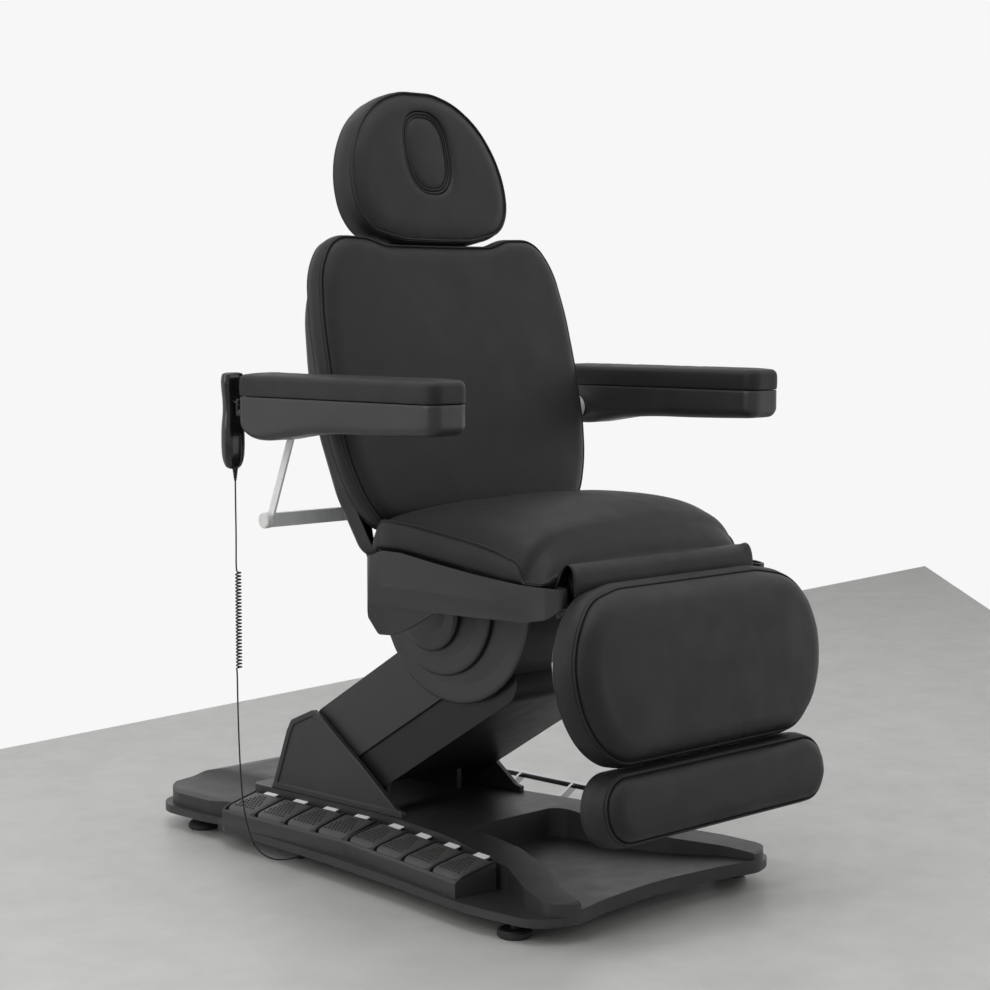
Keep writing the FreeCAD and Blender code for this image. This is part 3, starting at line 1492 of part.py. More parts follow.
def handset_case():
    """The hand control with the loop that hangs it on the armrest's hook."""
    x0 = handset_x - handset_width / 2
    x1 = handset_x + handset_width / 2
    rear = handset_front + handset_depth
    points = [(x0, handset_bottom, handset_low_corner), (x1, handset_bottom, handset_low_corner),
              (x1, handset_top, handset_corner), (x0, handset_top, handset_corner)]
    body = slab("xz", points, handset_front, rear)
    rims = [e for e in body.Edges if e.BoundBox.YLength < part_clearance]
    body = body.makeFillet(handset_round, rims)
    pocket = slab("xz", rectangle(x0 + keypad_margin, x1 - keypad_margin,
                                  handset_top - keypad_margin - keypad_height,
                                  handset_top - keypad_margin, handset_corner / 2),
                  rear - keypad_thickness, rear + over)
    low = hook_floor + part_clearance
    loop = block(handset_x - loop_half, handset_x + loop_half,
                 hook_reach - hook_thickness - loop_wall, handset_front, low, low + loop_height)
    space = block(handset_x - loop_half + loop_wall, handset_x + loop_half - loop_wall,
                  hook_reach - hook_thickness - part_clearance * 2, handset_front, low - over,
                  low + loop_height + over)
    return join([body.cut(pocket), loop.cut(space)])


def handset_keypad():
    """The flat key membrane in the handset's rear face."""
    x0 = handset_x - handset_width / 2 + keypad_margin
    x1 = handset_x + handset_width / 2 - keypad_margin
    rear = handset_front + handset_depth
    points = rectangle(x0, x1, handset_top - keypad_margin - keypad_height,
                       handset_top - keypad_margin, handset_corner / 2)
    return slab("xz", points, rear - keypad_thickness, rear)


def handset_relief():
    """The tapered strain relief at the handset's lower end."""
    return Part.makeCone(relief_tip_radius, relief_top_radius, relief_length,
                         V(cord_x, cord_y, handset_bottom - relief_length), axis_z)


def tube(name, points, radius):
    """A round cord along straight runs joined by tangent arcs; prints its radii and volume."""
    spots = [V(*p) for p in points]
    edges = []
    start = spots[0]
    radii = []
    for i in range(1, len(spots) - 1):
        here = spots[i]
        before = spots[i - 1] - here
        after = spots[i + 1] - here
        turn = math.pi - before.getAngle(after)
        reach = bend_room * min(before.Length, after.Length)
        bend = reach / math.tan(turn / 2)
        radii.append(bend)
        begin = here + before.normalize() * reach
        end = here + after.normalize() * reach
        inward = (before + after).normalize()
        middle = here + inward * (bend / math.cos(turn / 2) - bend)
        edges.append(Part.makeLine(start, begin))
        edges.append(Part.Arc(begin, middle, end).toShape())
        start = end
    edges.append(Part.makeLine(start, spots[-1]))
    wire = Part.Wire(edges)
    body = swept(wire, spots[0], (spots[1] - spots[0]), radius)
    ratio = body.Volume / (math.pi * radius * radius * wire.Length)
    least = min(radii) if radii else 0
    print(name, "length", round(wire.Length, 1), "least radius", round(least, 1),
          "volume ratio", round(ratio, 4))
    return body


def swept(wire, start, direction, radius):
    """A solid pipe of the radius along the wire."""
    circle = Part.Wire([Part.makeCircle(radius, start, direction)])
    shell = Part.BRepOffsetAPI.MakePipeShell(wire)
    shell.add(circle)
    shell.build()
    shell.makeSolid()
    return shell.shape()


def arc_between(start, apex, end):
    """The arc from start to end whose tangents meet at the apex."""
    width = (end - start).Length / (apex - start).Length / 2
    middle = (start + end + apex * (width * 2)) * (1 / (2 + width * 2))
    return Part.Arc(start, middle, end).toShape()


def biarc(start, leave, end, arrive):
    """Two tangent arcs from one point and direction to another."""
    chord = end - start
    both_ways = leave + arrive
    a = both_ways.dot(both_ways) - 4
    b = -2 * chord.dot(both_ways)
    c = chord.dot(chord)
    if abs(a) < least_term:
        reach = -c / b
    else:
        reach = (-b - math.sqrt(b * b - 4 * a * c)) / (2 * a)
    first = start + leave * reach
    second = end - arrive * reach
    middle = (first + second) * 0.5
    return [arc_between(start, first, middle), arc_between(middle, second, end)]


def cord_curl():
    """The curly stretch: one unbroken helix with a short straight end above and below."""
    centre_x = cord_x + curl_radius
    rise = curl_pitch / (2 * math.pi)
    slope = math.hypot(curl_radius, rise)
    down = V(0, 0, -1)
    height = curl_turns * curl_pitch
    spare = (curl_top - curl_bottom - height) / 2
    half_turns = curl_turns * 2

    def helix(step):
        angle = math.pi * (1 + step)
        place = V(centre_x + curl_radius * math.cos(angle), cord_y + curl_radius * math.sin(angle),
                  curl_top - spare - height * step / half_turns)
        heading = V(-curl_radius * math.sin(angle), curl_radius * math.cos(angle), -rise)
        return place, heading * (1 / slope)

    top = V(cord_x, cord_y, curl_top)
    top_end = top + down * end_straight
    bottom = V(cord_x, cord_y, curl_bottom)
    bottom_end = bottom - down * end_straight
    edges = [Part.makeLine(top, top_end)]
    place, heading = helix(0.5)
    edges += biarc(top_end, down, place, heading)
    path_points = [place]
    for step in range(half_turns - 1):
        next_place, next_heading = helix(step + 1.5)
        edges += biarc(place, heading, next_place, next_heading)
        place = next_place
        heading = next_heading
        path_points.append(place)
    edges += biarc(place, heading, bottom_end, down)
    edges.append(Part.makeLine(bottom_end, bottom))
    wire = Part.Wire(edges)
    body = swept(wire, top, down, cord_radius)
    turn_height = (path_points[2] - path_points[0]).Length
    least = turn_height * curl_radius / slope - 2 * cord_radius
    ratio = body.Volume / (math.pi * cord_radius * cord_radius * wire.Length)
    print("cord_curl length", round(wire.Length, 1), "least gap", round(least, 2), "volume ratio",
          round(ratio, 4))
    return body


def cord_top_run():
    """The straight stretch from the strain relief to the curls."""
    top = handset_bottom - relief_length
    return rod_z(cord_radius, cord_x, cord_y, curl_top, top)


def eased(points, trim_start, trim_end):
    """The points with the ends drawn back by small gaps."""
    spots = [V(*p) for p in points]
    first = spots[0] + (spots[1] - spots[0]).normalize() * trim_start
    last = spots[-1] + (spots[-2] - spots[-1]).normalize() * trim_end
    return [tuple(first)] + [tuple(p) for p in spots[1:-1]] + [tuple(last)]


def main():
    os.makedirs("parts", exist_ok=True)
    upper_y, upper_z = upper_pivot()
    save("base_shell", base_shell())
    save("base_frame", base_frame())
    save("levelling_feet", levelling_feet())
    save("control_box", control_box())
    save("cord_gland", cord_gland())
    save("lift_housing", lift_housing())
    save("pedal_bank_rear", pedal_bank(False))
    save("pedal_bank_front", pedal_bank(True))
    for number in range(pedals_per_bank * 2):
        front = number >= pedals_per_bank
        save("pedal_" + str(number + 1), pedal(number % pedals_per_bank, front))
    save("foot_bar", foot_bar())
    save("foot_bar_bracket", foot_bar_bracket())
    save("lower_link", link(lower_pivot_y, lower_pivot_z, lower_cover_half - cover_wall))
    save("lower_cover", lower_cover())
    save("upper_link", link(upper_y, upper_z, upper_cover_half - cover_wall))
    save("upper_cover", upper_cover())
    save("carriage", carriage())
    save("fan_lower", fan_lower())
    save("fan_middle", fan_middle())
    save("fan_upper", fan_upper())
    save("seat_frame", seat_frame())
    save("seat_shell", seat_shell())
    save("seat_board", seat_board())
    save("seat_cushion", seat_cushion())
    save("seat_flap", seat_flap())
    save("leg_frame", leg_frame())
    save("leg_shell", leg_shell())
    save("leg_cushion", leg_cushion())
    save("foot_frame", foot_frame())
    save("foot_cushion", foot_cushion())
    save("back_frame", back_frame())
    save("back_board", back_board())
    save("back_shell", back_shell())
    save("back_cushion", back_cushion())
    save("arm_shaft", arm_shaft())
    save("arm_frame", arm_frame())
    save("arm_bar_caps", arm_bar_caps())
    save("level_link", level_link())
    save("armrest_shell_right", armrest_shell(True))
    save("armrest_shell_left", armrest_shell(False))
    save("armrest_cushion_right", armrest_cushion(True))
    save("armrest_cushion_left", armrest_cushion(False))
    save("head_posts", head_posts())
    save("head_board", head_board())
    save("head_cushion", head_cushion())
    save("face_plug", face_plug())
    save("handset_case", handset_case())
    save("handset_keypad", handset_keypad())
    save("handset_relief", handset_relief())
    save("cord_top_run", cord_top_run())
    save("cord_curl", cord_curl())
    save("cord_low_run", tube("cord_low_run", eased(low_run_points, 0, cord_gap), cord_radius))
    save("cord_base_run", tube("cord_base_run", eased(base_run_points, cord_gap, 0), cord_radius))


main()
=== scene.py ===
import math

import bmesh
import bpy
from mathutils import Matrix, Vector, noise
from mathutils.bvhtree import BVHTree


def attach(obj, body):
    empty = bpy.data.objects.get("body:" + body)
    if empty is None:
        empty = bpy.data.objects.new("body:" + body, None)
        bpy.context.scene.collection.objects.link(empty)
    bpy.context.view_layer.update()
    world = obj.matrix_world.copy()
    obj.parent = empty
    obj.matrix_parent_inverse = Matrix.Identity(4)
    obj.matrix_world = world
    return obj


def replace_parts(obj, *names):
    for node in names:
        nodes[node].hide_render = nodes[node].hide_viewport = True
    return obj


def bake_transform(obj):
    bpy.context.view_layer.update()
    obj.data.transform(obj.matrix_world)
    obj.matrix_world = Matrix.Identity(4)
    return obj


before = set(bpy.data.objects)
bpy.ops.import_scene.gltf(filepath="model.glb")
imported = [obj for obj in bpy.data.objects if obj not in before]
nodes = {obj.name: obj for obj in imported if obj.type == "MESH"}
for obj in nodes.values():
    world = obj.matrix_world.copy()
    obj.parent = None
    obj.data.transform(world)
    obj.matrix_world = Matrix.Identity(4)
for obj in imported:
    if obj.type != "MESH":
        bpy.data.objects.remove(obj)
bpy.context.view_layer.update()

mm = 0.001
quarter = math.pi / 2
sides = ((-1, "right"), (1, "left"))


def put(name, data):
    """A new object of the scene that shows the data."""
    piece = bpy.data.objects.new(name, data)
    bpy.context.collection.objects.link(piece)
    return piece


# Camera, at the photograph's viewing angle

camera_data = bpy.data.cameras.new("camera")
camera_data.sensor_fit = "HORIZONTAL"
camera_data.sensor_width = 36.0
camera_data.lens = 80.87
camera_data.clip_end = 100.0
camera = put("camera", camera_data)
camera.location = (-2.8583, -2.9678, 1.0525)
camera.rotation_euler = (math.radians(90 - 5.02), 0, math.radians(-45))
bpy.context.scene.camera = camera
bpy.context.scene.view_settings.view_transform = "Standard"


# Mesh helpers

def add_mesh(name, points, faces, material, body, smooth=True):
    """A mesh piece with its faces outwards, riding on a body if one is given."""
    data = bpy.data.meshes.new(name)
    data.from_pydata(points, [], faces)
    data.validate()
    work = bmesh.new()
    work.from_mesh(data)
    bmesh.ops.recalc_face_normals(work, faces=work.faces)
    work.to_mesh(data)
    work.free()
    data.materials.append(material)
    for face in data.polygons:
        face.use_smooth = smooth
    piece = put(name, data)
    if body:
        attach(piece, body)
    return piece


def ring_faces(rings, size, closed=True):
    """Quads between rings of the same size."""
    faces = []
    for j in range(rings - 1):
        for i in range(size if closed else size - 1):
            k = (i + 1) % size
            faces.append((j * size + i, j * size + k, (j + 1) * size + k, (j + 1) * size + i))
    return faces


def ring_form(name, rings, material, body, loop=False):
    """A closed form through rings of points, with a face at both ends or its ends joined."""
    size = len(rings[0])
    last = (len(rings) - 1) * size
    faces = ring_faces(len(rings), size)
    if loop:
        faces += [(i, last + i, last + (i + 1) % size, (i + 1) % size) for i in range(size)]
    else:
        faces += [tuple(range(size)), tuple(range(last, last + size))]
    return add_mesh(name, [p for ring in rings for p in ring], faces, material, body)


def mapper(origin_y, origin_z, angle):
    """Places a local point (across, along, out) of a tilted frame in the chair, in metres."""
    c = math.cos(math.radians(angle))
    s = math.sin(math.radians(angle))

    def place(x, y, z):
        return Vector((x * mm, (origin_y + y * c - z * s) * mm, (origin_z + y * s + z * c) * mm))
    return place


in_chair = mapper(0, 0, 0)
in_back = mapper(-47.0, 630.0, 76.6)
in_leg = mapper(-541.0, 590.0, 82.0)


def outline(shares, half, length, start=0.0):
    """A closed outline (a, b, corner radius) from the shares of its right half."""
    side = [(a * half, start + b * length, r * half) for a, b, r in shares]
    return side + [(-a, b, r) for a, b, r in reversed(side[1:-1])]


def box_line(half, low, high, radius, spacing):
    """A rectangle with rounded corners, as evenly spaced points."""
    corners = ((-half, low), (half, low), (half, high), (-half, high))
    return rounded([(*corner, radius) for corner in corners], spacing)


def rounded(points, spacing):
    """The outline with arcs at its corners, as evenly spaced points."""
    line = []
    for i, (a, b, radius) in enumerate(points):
        here = Vector((a, b))
        before = Vector(points[i - 1][:2]) - here
        after = Vector(points[(i + 1) % len(points)][:2]) - here
        turn = math.pi - before.angle(after)
        if radius == 0 or turn < 0.001:
            line.append(here)
            continue
        reach = min(radius * math.tan(turn / 2), min(before.length, after.length) * 0.48)
        start = here + before.normalized() * reach
        end = here + after.normalized() * reach
        for k in range(17):
            t = k / 16
            low = (1 - t) ** 2
            mid = 2 * t * (1 - t) * math.cos(turn / 2)
            high = t ** 2
            line.append((start * low + here * mid + end * high) / (low + mid + high))
    return even(line, spacing)


def even(line, spacing):
    """A closed line at even steps."""
    closed = line + [line[0]]
    total = sum((b - a).length for a, b in zip(closed, closed[1:]))
    count = max(8, int(total / spacing))
    step = total / count
    result = []
    walked = 0.0
    want = 0.0
    for a, b in zip(closed, closed[1:]):
        size = (b - a).length
        while want < walked + size - 1e-9 and len(result) < count:
            result.append(a + (b - a) * ((want - walked) / size))
            want += step
        walked += size
    return result


def centre_of(line):
    return sum(line, Vector((0, 0))) / len(line)


def inward(line):
    """Unit normals of a closed line, towards its inside."""
    middle = centre_of(line)
    normals = []
    for i, p in enumerate(line):
        along = line[(i + 2) % len(line)] - line[i - 2]
        n = Vector((-along.y, along.x)).normalized()
        normals.append(n if n.dot(middle - p) >= 0 else -n)
    return normals


def drawn_in(line, normals, inset, limit):
    """The line drawn inwards: evenly to a limit, then towards its spine, so it never folds."""
    ring = [p + n * min(inset, limit) for p, n in zip(line, normals)]
    if inset <= limit:
        return ring
    middle = centre_of(line)
    half_x = max(abs(p.x - middle.x) for p in line)
    half_y = max(abs(p.y - middle.y) for p in line)
    small = min(half_x, half_y)
    share = min(0.97, (inset - limit) / (small - limit))
    result = []
    for p in ring:
        spine = Vector(((p.x - middle.x) * (1 - small / half_x),
                        (p.y - middle.y) * (1 - small / half_y)))
        result.append(p.lerp(middle + spine, share))
    return result


def stacked(name, line, steps, place, material, body, limit=12.0):
    """A closed form from steps of (inset, level), where a level may depend on the point."""
    normals = inward(line)
    rings = [[place(p.x, p.y, level(p, i) if callable(level) else level)
              for i, p in enumerate(drawn_in(line, normals, inset, limit))] for inset, level in steps]
    return ring_form(name, rings, material, body)


def tube(name, path, radius, material, body, sides=12):
    """A round bead along a path of points in metres."""
    turns = [2 * math.pi * k / sides for k in range(sides)]
    rings = []
    for i, spot in enumerate(path):
        along = (path[min(i + 1, len(path) - 1)] - path[max(i - 1, 0)]).normalized()
        guide = Vector((0, 0, 1)) if abs(along.z) < 0.9 else Vector((1, 0, 0))
        u = along.cross(guide).normalized()
        v = along.cross(u)
        rings.append([spot + (u * math.cos(turn) + v * math.sin(turn)) * radius for turn in turns])
    return ring_form(name, rings, material, body)


def puckers(i, length, depth, seed):
    """Small folds that a sewn seam pulls into the cover, fading away from it."""
    wave = noise.noise(Vector((i * length / 17.0, seed, 0.3)))
    fine = noise.noise(Vector((i * length / 7.0, seed, 5.1)))
    return (wave * 0.9 + fine * 0.35) * math.exp(-depth / 15.0)


def broad_wave(x, y, seed, height, depth):
    """Slow rise and fall of a padded face, starting away from its seam."""
    return noise.noise(Vector((x / 95.0, y / 95.0, seed))) * height * min(1.0, depth / 40.0)


# Materials

def add_node(tree, kind, values=None, links=None, **settings):
    """A shader node with its settings, constants on its sockets and links into them."""
    node = tree.nodes.new("ShaderNode" + kind)
    for setting, value in settings.items():
        setattr(node, setting, value)
    for socket, value in (values or {}).items():
        node.inputs[socket].default_value = value
    for socket, source in (links or {}).items():
        tree.links.new(source, node.inputs[socket])
    return node


def textured(name, color, roughness, metallic=0.0, specular=0.5, sheen=0.0, coat=0.0, cell=0.0,
             grain=900.0, relief=0.1, depth=0.0003, vary=0.12, spread=0.06, wear=0.0, stretch=None):
    """A surface with fine relief, soft colour variation, uneven gloss and worn edges."""
    material = bpy.data.materials.new(name)
    material.use_nodes = True
    tree = material.node_tree
    bsdf = tree.nodes["Principled BSDF"]
    for socket, value in (("Base Color", (*color, 1)), ("Roughness", roughness), ("Metallic", metallic),
                          ("Specular IOR Level", specular), ("Sheen Weight", sheen),
                          ("Coat Weight", coat)):
        bsdf.inputs[socket].default_value = value
    link = tree.links.new
    source = add_node(tree, "TexCoord").outputs["Object"]
    if stretch:
        source = add_node(tree, "Mapping", {"Scale": stretch}, {"Vector": source}).outputs["Vector"]

    def noise_at(scale, detail):
        values = {"Scale": scale, "Detail": detail}
        return add_node(tree, "TexNoise", values, {"Vector": source}).outputs["Fac"]
    ramp = add_node(tree, "ValToRGB", {}, {"Fac": noise_at(7.0, 4.0)})
    for stop, place, change in zip(ramp.color_ramp.elements, (0.3, 0.7), (1 - vary, 1 + vary)):
        stop.position = place
        stop.color = (*[min(1.0, c * change) for c in color], 1)
    shade = ramp.outputs["Color"]
    if wear:
        edge = add_node(tree, "MapRange", {"From Min": 0.52, "From Max": 0.62, "To Max": wear},
                        {"Value": add_node(tree, "NewGeometry").outputs["Pointiness"]})
        shade = add_node(tree, "Mix", {7: (*[min(1.0, c * 2.2 + 0.02) for c in color], 1)},
                         {"Factor": edge.outputs["Result"], 6: shade}, data_type="RGBA").outputs[2]
    link(shade, bsdf.inputs["Base Color"])
    gloss = add_node(tree, "MapRange", {"From Min": 0.3, "From Max": 0.7, "To Min": roughness - spread,
                                        "To Max": roughness + spread}, {"Value": noise_at(23.0, 3.0)})
    link(gloss.outputs["Result"], bsdf.inputs["Roughness"])
    height = noise_at(grain, 3.0)
    if cell:
        cells = add_node(tree, "TexVoronoi", {"Scale": cell}, {"Vector": source},
                         feature="DISTANCE_TO_EDGE")
        crease = add_node(tree, "MapRange", {"From Max": 0.16}, {"Value": cells.outputs["Distance"]})
        height = add_node(tree, "Math", {1: 0.35}, {0: height, 2: crease.outputs["Result"]},
                          operation="MULTIPLY_ADD").outputs["Value"]
    bump = add_node(tree, "Bump", {"Strength": relief, "Distance": depth}, {"Height": height})
    link(bump.outputs["Normal"], bsdf.inputs["Normal"])
    return material


leather = textured(
    "leatherette", (0.0125, 0.0125, 0.013), 0.50, cell=620.0, relief=0.35, sheen=0.02, vary=0.10,
    spread=0.05, specular=0.33)
plastic = textured(
    "charcoal_moulding", (0.028, 0.028, 0.029), 0.46, grain=1400.0, relief=0.25, wear=0.25,
    spread=0.04)
fan_plastic = textured(
    "fan_moulding", (0.021, 0.021, 0.022), 0.42, grain=1400.0, relief=0.2, wear=0.2, spread=0.04)
cover_plastic = textured(
    "link_cover_moulding", (0.024, 0.024, 0.025), 0.40, grain=1300.0, relief=0.16, wear=0.2,
    spread=0.04)
glossy_cover = textured(
    "glossy_link_cover", (0.014, 0.014, 0.015), 0.38, relief=0.06, wear=0.15, spread=0.04,
    specular=0.3)
arm_plastic = textured(
    "arm_moulding", (0.026, 0.026, 0.027), 0.40, grain=1300.0, relief=0.16, wear=0.25)
pedal_plastic = textured(
    "pedal_moulding", (0.058, 0.055, 0.053), 0.50, grain=1100.0, relief=0.3, wear=0.35)
# Near black: painted shade of the dimples in the pedals' tread, put on raised studs
painted_shade_tread = textured("tread_painted_shade", (0.010, 0.010, 0.010), 0.60, grain=1000.0, relief=0.3)
label_white = textured("blank_label", (0.86, 0.86, 0.85), 0.40, vary=0.02, relief=0.05)
cap_white = textured("white_cap", (0.78, 0.78, 0.77), 0.38, vary=0.03, relief=0.06)
steel = textured(
    "black_powder_coat", (0.022, 0.022, 0.023), 0.48, grain=500.0, relief=0.3, wear=0.3, depth=0.0004)
shaft = textured(
    "turned_steel", (0.42, 0.42, 0.43), 0.30, metallic=1.0, grain=700.0, relief=0.08,
    stretch=(1, 12, 12))
silver = textured(
    "satin_silver", (0.86, 0.87, 0.88), 0.40, metallic=0.20, relief=0.06, vary=0.04,
    stretch=(14, 1, 1))
chrome = textured(
    "chromed_bar", (0.50, 0.51, 0.52), 0.14, metallic=1.0, grain=300.0, relief=0.02, vary=0.02,
    spread=0.03)
rubber = textured("foot_rubber", (0.014, 0.014, 0.014), 0.62, grain=700.0, relief=0.3)
cord_rubber = textured("cord_sheath", (0.016, 0.016, 0.016), 0.45, relief=0.12)
board = textured(
    "board_laminate", (0.045, 0.042, 0.040), 0.60, grain=260.0, relief=0.3, vary=0.3,
    stretch=(1, 9, 1))
case_plastic = textured(
    "handset_moulding", (0.022, 0.022, 0.023), 0.36, grain=1500.0, relief=0.15, wear=0.2)
handset_gloss = textured(
    "glossy_handset", (0.010, 0.010, 0.011), 0.17, grain=500.0, relief=0.04, coat=0.4, spread=0.03)
membrane = textured("key_membrane", (0.10, 0.10, 0.105), 0.35)
button_grey = textured("key_button", (0.30, 0.30, 0.31), 0.42, grain=700.0)
# Near black: painted shade for the inside of the slot in the leg's cover
painted_slot_shade = textured("slot_painted_shade", (0.006, 0.006, 0.006), 0.7)

finishes = [
    (plastic, "base_shell control_box lift_housing pedal_bank_rear pedal_bank_front leg_shell"),
    (steel, "base_frame foot_bar_bracket lower_link upper_link carriage seat_frame leg_frame "
            "foot_frame back_frame level_link"),
    (fan_plastic, "fan_lower fan_middle fan_upper seat_shell back_shell"), (silver, "arm_frame"),
    (rubber, "levelling_feet cord_gland"), (chrome, "foot_bar head_posts"), (shaft, "arm_shaft"),
    (glossy_cover, "lower_cover"), (cover_plastic, "upper_cover"), (cap_white, "arm_bar_caps"),
    (board, "seat_board back_board head_board"),
]
finish_of = {name: finish for finish, names in finishes for name in names.split()}
for name, node in nodes.items():
    chosen = finish_of.get(name, leather)
    if not node.data.materials:
        node.data.materials.append(chosen)
    for slot in node.material_slots:
        slot.material = chosen


# Cords

cord_radius = 1.4 * mm
curl_radius = 4.4 * mm
curl_pitch = 6.0 * mm
curl_turns = 29
points_per_turn = 14
cord_x = -0.426
cord_y = 0.110
relief_tip = 0.735
curl_top = 0.580
curl_bottom = 0.395
low_run = [(-0.4256, 0.110, 0.335), (-0.4236, 0.1102, 0.272), (-0.4206, 0.1106, 0.212),
           (-0.416, 0.1112, 0.165), (-0.4096, 0.1122, 0.131), (-0.4022, 0.1136, 0.110)]
base_run = [low_run[-1], (-0.3948, 0.115, 0.089), (-0.381, 0.1186, 0.070),
            (-0.362, 0.125, 0.0535), (-0.338, 0.134, 0.040), (-0.311, 0.144, 0.030),
            (-0.283, 0.153, 0.0236), (-0.262, 0.157, 0.022), (-0.252, 0.157, 0.022)]


def cord_curve(name, points, body):
    """A cord along a smooth line that has these points as its control points."""
    data = bpy.data.curves.new(name, "CURVE")
    data.dimensions = "3D"
    data.bevel_depth = cord_radius
    data.bevel_resolution = 3
    data.resolution_u = 4
    data.use_fill_caps = True
    line = data.splines.new("NURBS")
    line.points.add(len(points) - 1)
    for spot, p in zip(line.points, points):
        spot.co = (*p, 1)
    line.order_u = 3
    line.use_endpoint_u = True
    data.materials.append(cord_rubber)
    piece = put(name, data)
    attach(piece, body)
    return piece


hanging = [(cord_x, cord_y, relief_tip), (cord_x, cord_y, 0.690), (cord_x + 0.0006, cord_y, 0.640),
           (cord_x, cord_y, 0.600), (cord_x, cord_y, curl_top)]
axis_x = cord_x + curl_radius
top_of_turns = (curl_top + curl_bottom) / 2 + curl_turns * curl_pitch / 2
control_radius = curl_radius / math.cos(math.pi / points_per_turn)
wound = []
for k in range(1, curl_turns * points_per_turn):
    share = k / points_per_turn
    turn = math.pi + 2 * math.pi * share
    wound.append((axis_x + control_radius * math.cos(turn), cord_y + control_radius * math.sin(turn),
                  top_of_turns - share * curl_pitch))
upper_points = hanging + wound + [(cord_x, cord_y, curl_bottom)] + low_run
cord_hanging = cord_curve("cord_hanging", upper_points, "handset")
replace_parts(cord_hanging, "cord_top_run", "cord_curl", "cord_low_run")
cord_to_base = cord_curve("cord_to_base", base_run, "base")
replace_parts(cord_to_base, "cord_base_run")
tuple(base_run[0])


# Upholstered pads

pipe_radius = 1.9
panel_steps = 34
pucker_start = 4.0


def seam_profile(inset, height):
    """Steps of a piped seam: groove, cord and groove, as (inset, height)."""
    r = pipe_radius
    turns = [math.radians(200 - 44 * k) for k in range(6)]
    return [(inset - r * 1.5, height - r * 1.6), (inset - r * 0.9, height - r * 1.9),
            *((inset - r * 0.1 + r * math.cos(turn) * 0.95, height - r * 0.4 + r * math.sin(turn))
              for turn in turns),
            (inset + r * 1.1, height - r * 1.7)]


def pad(name, body, place, line, thickness, crown, replaced, seed, seam, back=0.10, base=0.0,
        shoulder=0.45, edge=0.0, roll=0.0, hole=None):
    """A boxed pad: bulging side band, piped seam and a crowned front panel with puckers.

    seam and back: insets of the seam and of the back face, as shares of the thickness; shoulder:
    the share of the crown that the panel's rim takes; edge: how far the rim reaches; roll: the
    length over which the pad thins at its near end.
    """
    normals = inward(line)
    size = len(line)
    spacing = (line[1] - line[0]).length
    top_seam = base + thickness
    seam_inset = thickness * seam + 1.5
    profile = [(thickness * back * (1 - share * 10), base + thickness * share) for share in (0.0, 0.03)]
    for k in range(1, 12):
        t = k / 12
        bulge = math.sin(math.pi * t) ** 0.7
        low = thickness * back * (1 - t) ** 3
        profile.append((low + thickness * seam * t ** 4 - bulge * 1.2 + 0.6,
                        base + thickness * (0.03 + 0.91 * t)))
    profile += seam_profile(seam_inset, top_seam)
    rows = [([p + n * inset for p, n in zip(line, normals)], [height] * size)
            for inset, height in profile]
    start = [p + n * (seam_inset + pipe_radius * 1.6) for p, n in zip(line, normals)]
    if hole:
        goal = hole
        reach = min((p - q).length for p, q in zip(start, goal))
    else:
        middle = centre_of(line)
        wide = max(abs(p.x - middle.x) for p in start)
        high = max(abs(p.y - middle.y) for p in start)
        spine = max(0.012, 1 - high / wide)
        goal = [Vector((middle.x + (p.x - middle.x) * spine, middle.y + (p.y - middle.y) * 0.012))
                for p in start]
        reach = min(high, min((p - middle).length for p in start))
    dip = pipe_radius * 1.2
    for k in range(panel_steps + 1):
        t = (k / panel_steps) ** 1.7
        ring = [p.lerp(q, t) for p, q in zip(start, goal)]
        levels = []
        for i, p in enumerate(ring):
            far = (start[i] - goal[i]).length * t
            if edge:
                rise = math.sqrt(1 - (1 - min(1.0, far / edge)) ** 2)
            else:
                rise = 1 - math.exp(-far / (thickness * 0.30))
            level = top_seam - dip + (dip + crown * shoulder) * rise
            level += crown * (1 - shoulder) * math.sin(min(1.0, far / reach) * quarter)
            wave = puckers(i, spacing, far, seed) * min(1.0, far / pucker_start)
            wave *= max(0.0, 1 - far / (0.85 * reach))
            level += wave + broad_wave(p.x, p.y, seed * 3.7, 1.3, far)
            if hole:
                near = (p - goal[i]).length
                level -= 4.0 * math.exp(-near / 5.0)
                level += puckers(i, spacing, near, seed + 4) * 0.6
            levels.append(level)
        rows.append((ring, levels))
    if hole:
        rows += [(hole, [base + thickness * share] * size) for share in (0.8, 0.5, 0.2, 0.02)]
    rings = []
    for ring, levels in rows:
        if roll:
            nears = [min(1.0, max(0.0, (p.y + roll) / (roll * 1.12))) for p in ring]
            levels = [z * math.sqrt(1 - near ** 2.4) for z, near in zip(levels, nears)]
        rings.append([place(p.x, p.y, z) for p, z in zip(ring, levels)])
    piece = ring_form(name, rings, leather, body, loop=bool(hole))
    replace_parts(piece, replaced)


def hermite(rows, a, column):
    """A smooth reading of one column of a table whose first column rises."""
    if a <= rows[0][0]:
        return rows[0][column]
    if a >= rows[-1][0]:
        return rows[-1][column]
    i = max(k for k in range(len(rows) - 1) if rows[k][0] <= a)
    slopes = [(after[column] - row[column]) / (after[0] - row[0]) for row, after in zip(rows, rows[1:])]
    start = (slopes[max(i - 1, 0)] + slopes[i]) / 2
    end = (slopes[i] + slopes[min(i + 1, len(slopes) - 1)]) / 2
    step = rows[i + 1][0] - rows[i][0]
    t = (a - rows[i][0]) / step
    return ((2 * t ** 3 - 3 * t ** 2 + 1) * rows[i][column] + (t ** 3 - 2 * t ** 2 + t) * step * start
            + (3 * t ** 2 - 2 * t ** 3) * rows[i + 1][column] + (t ** 3 - t ** 2) * step * end)


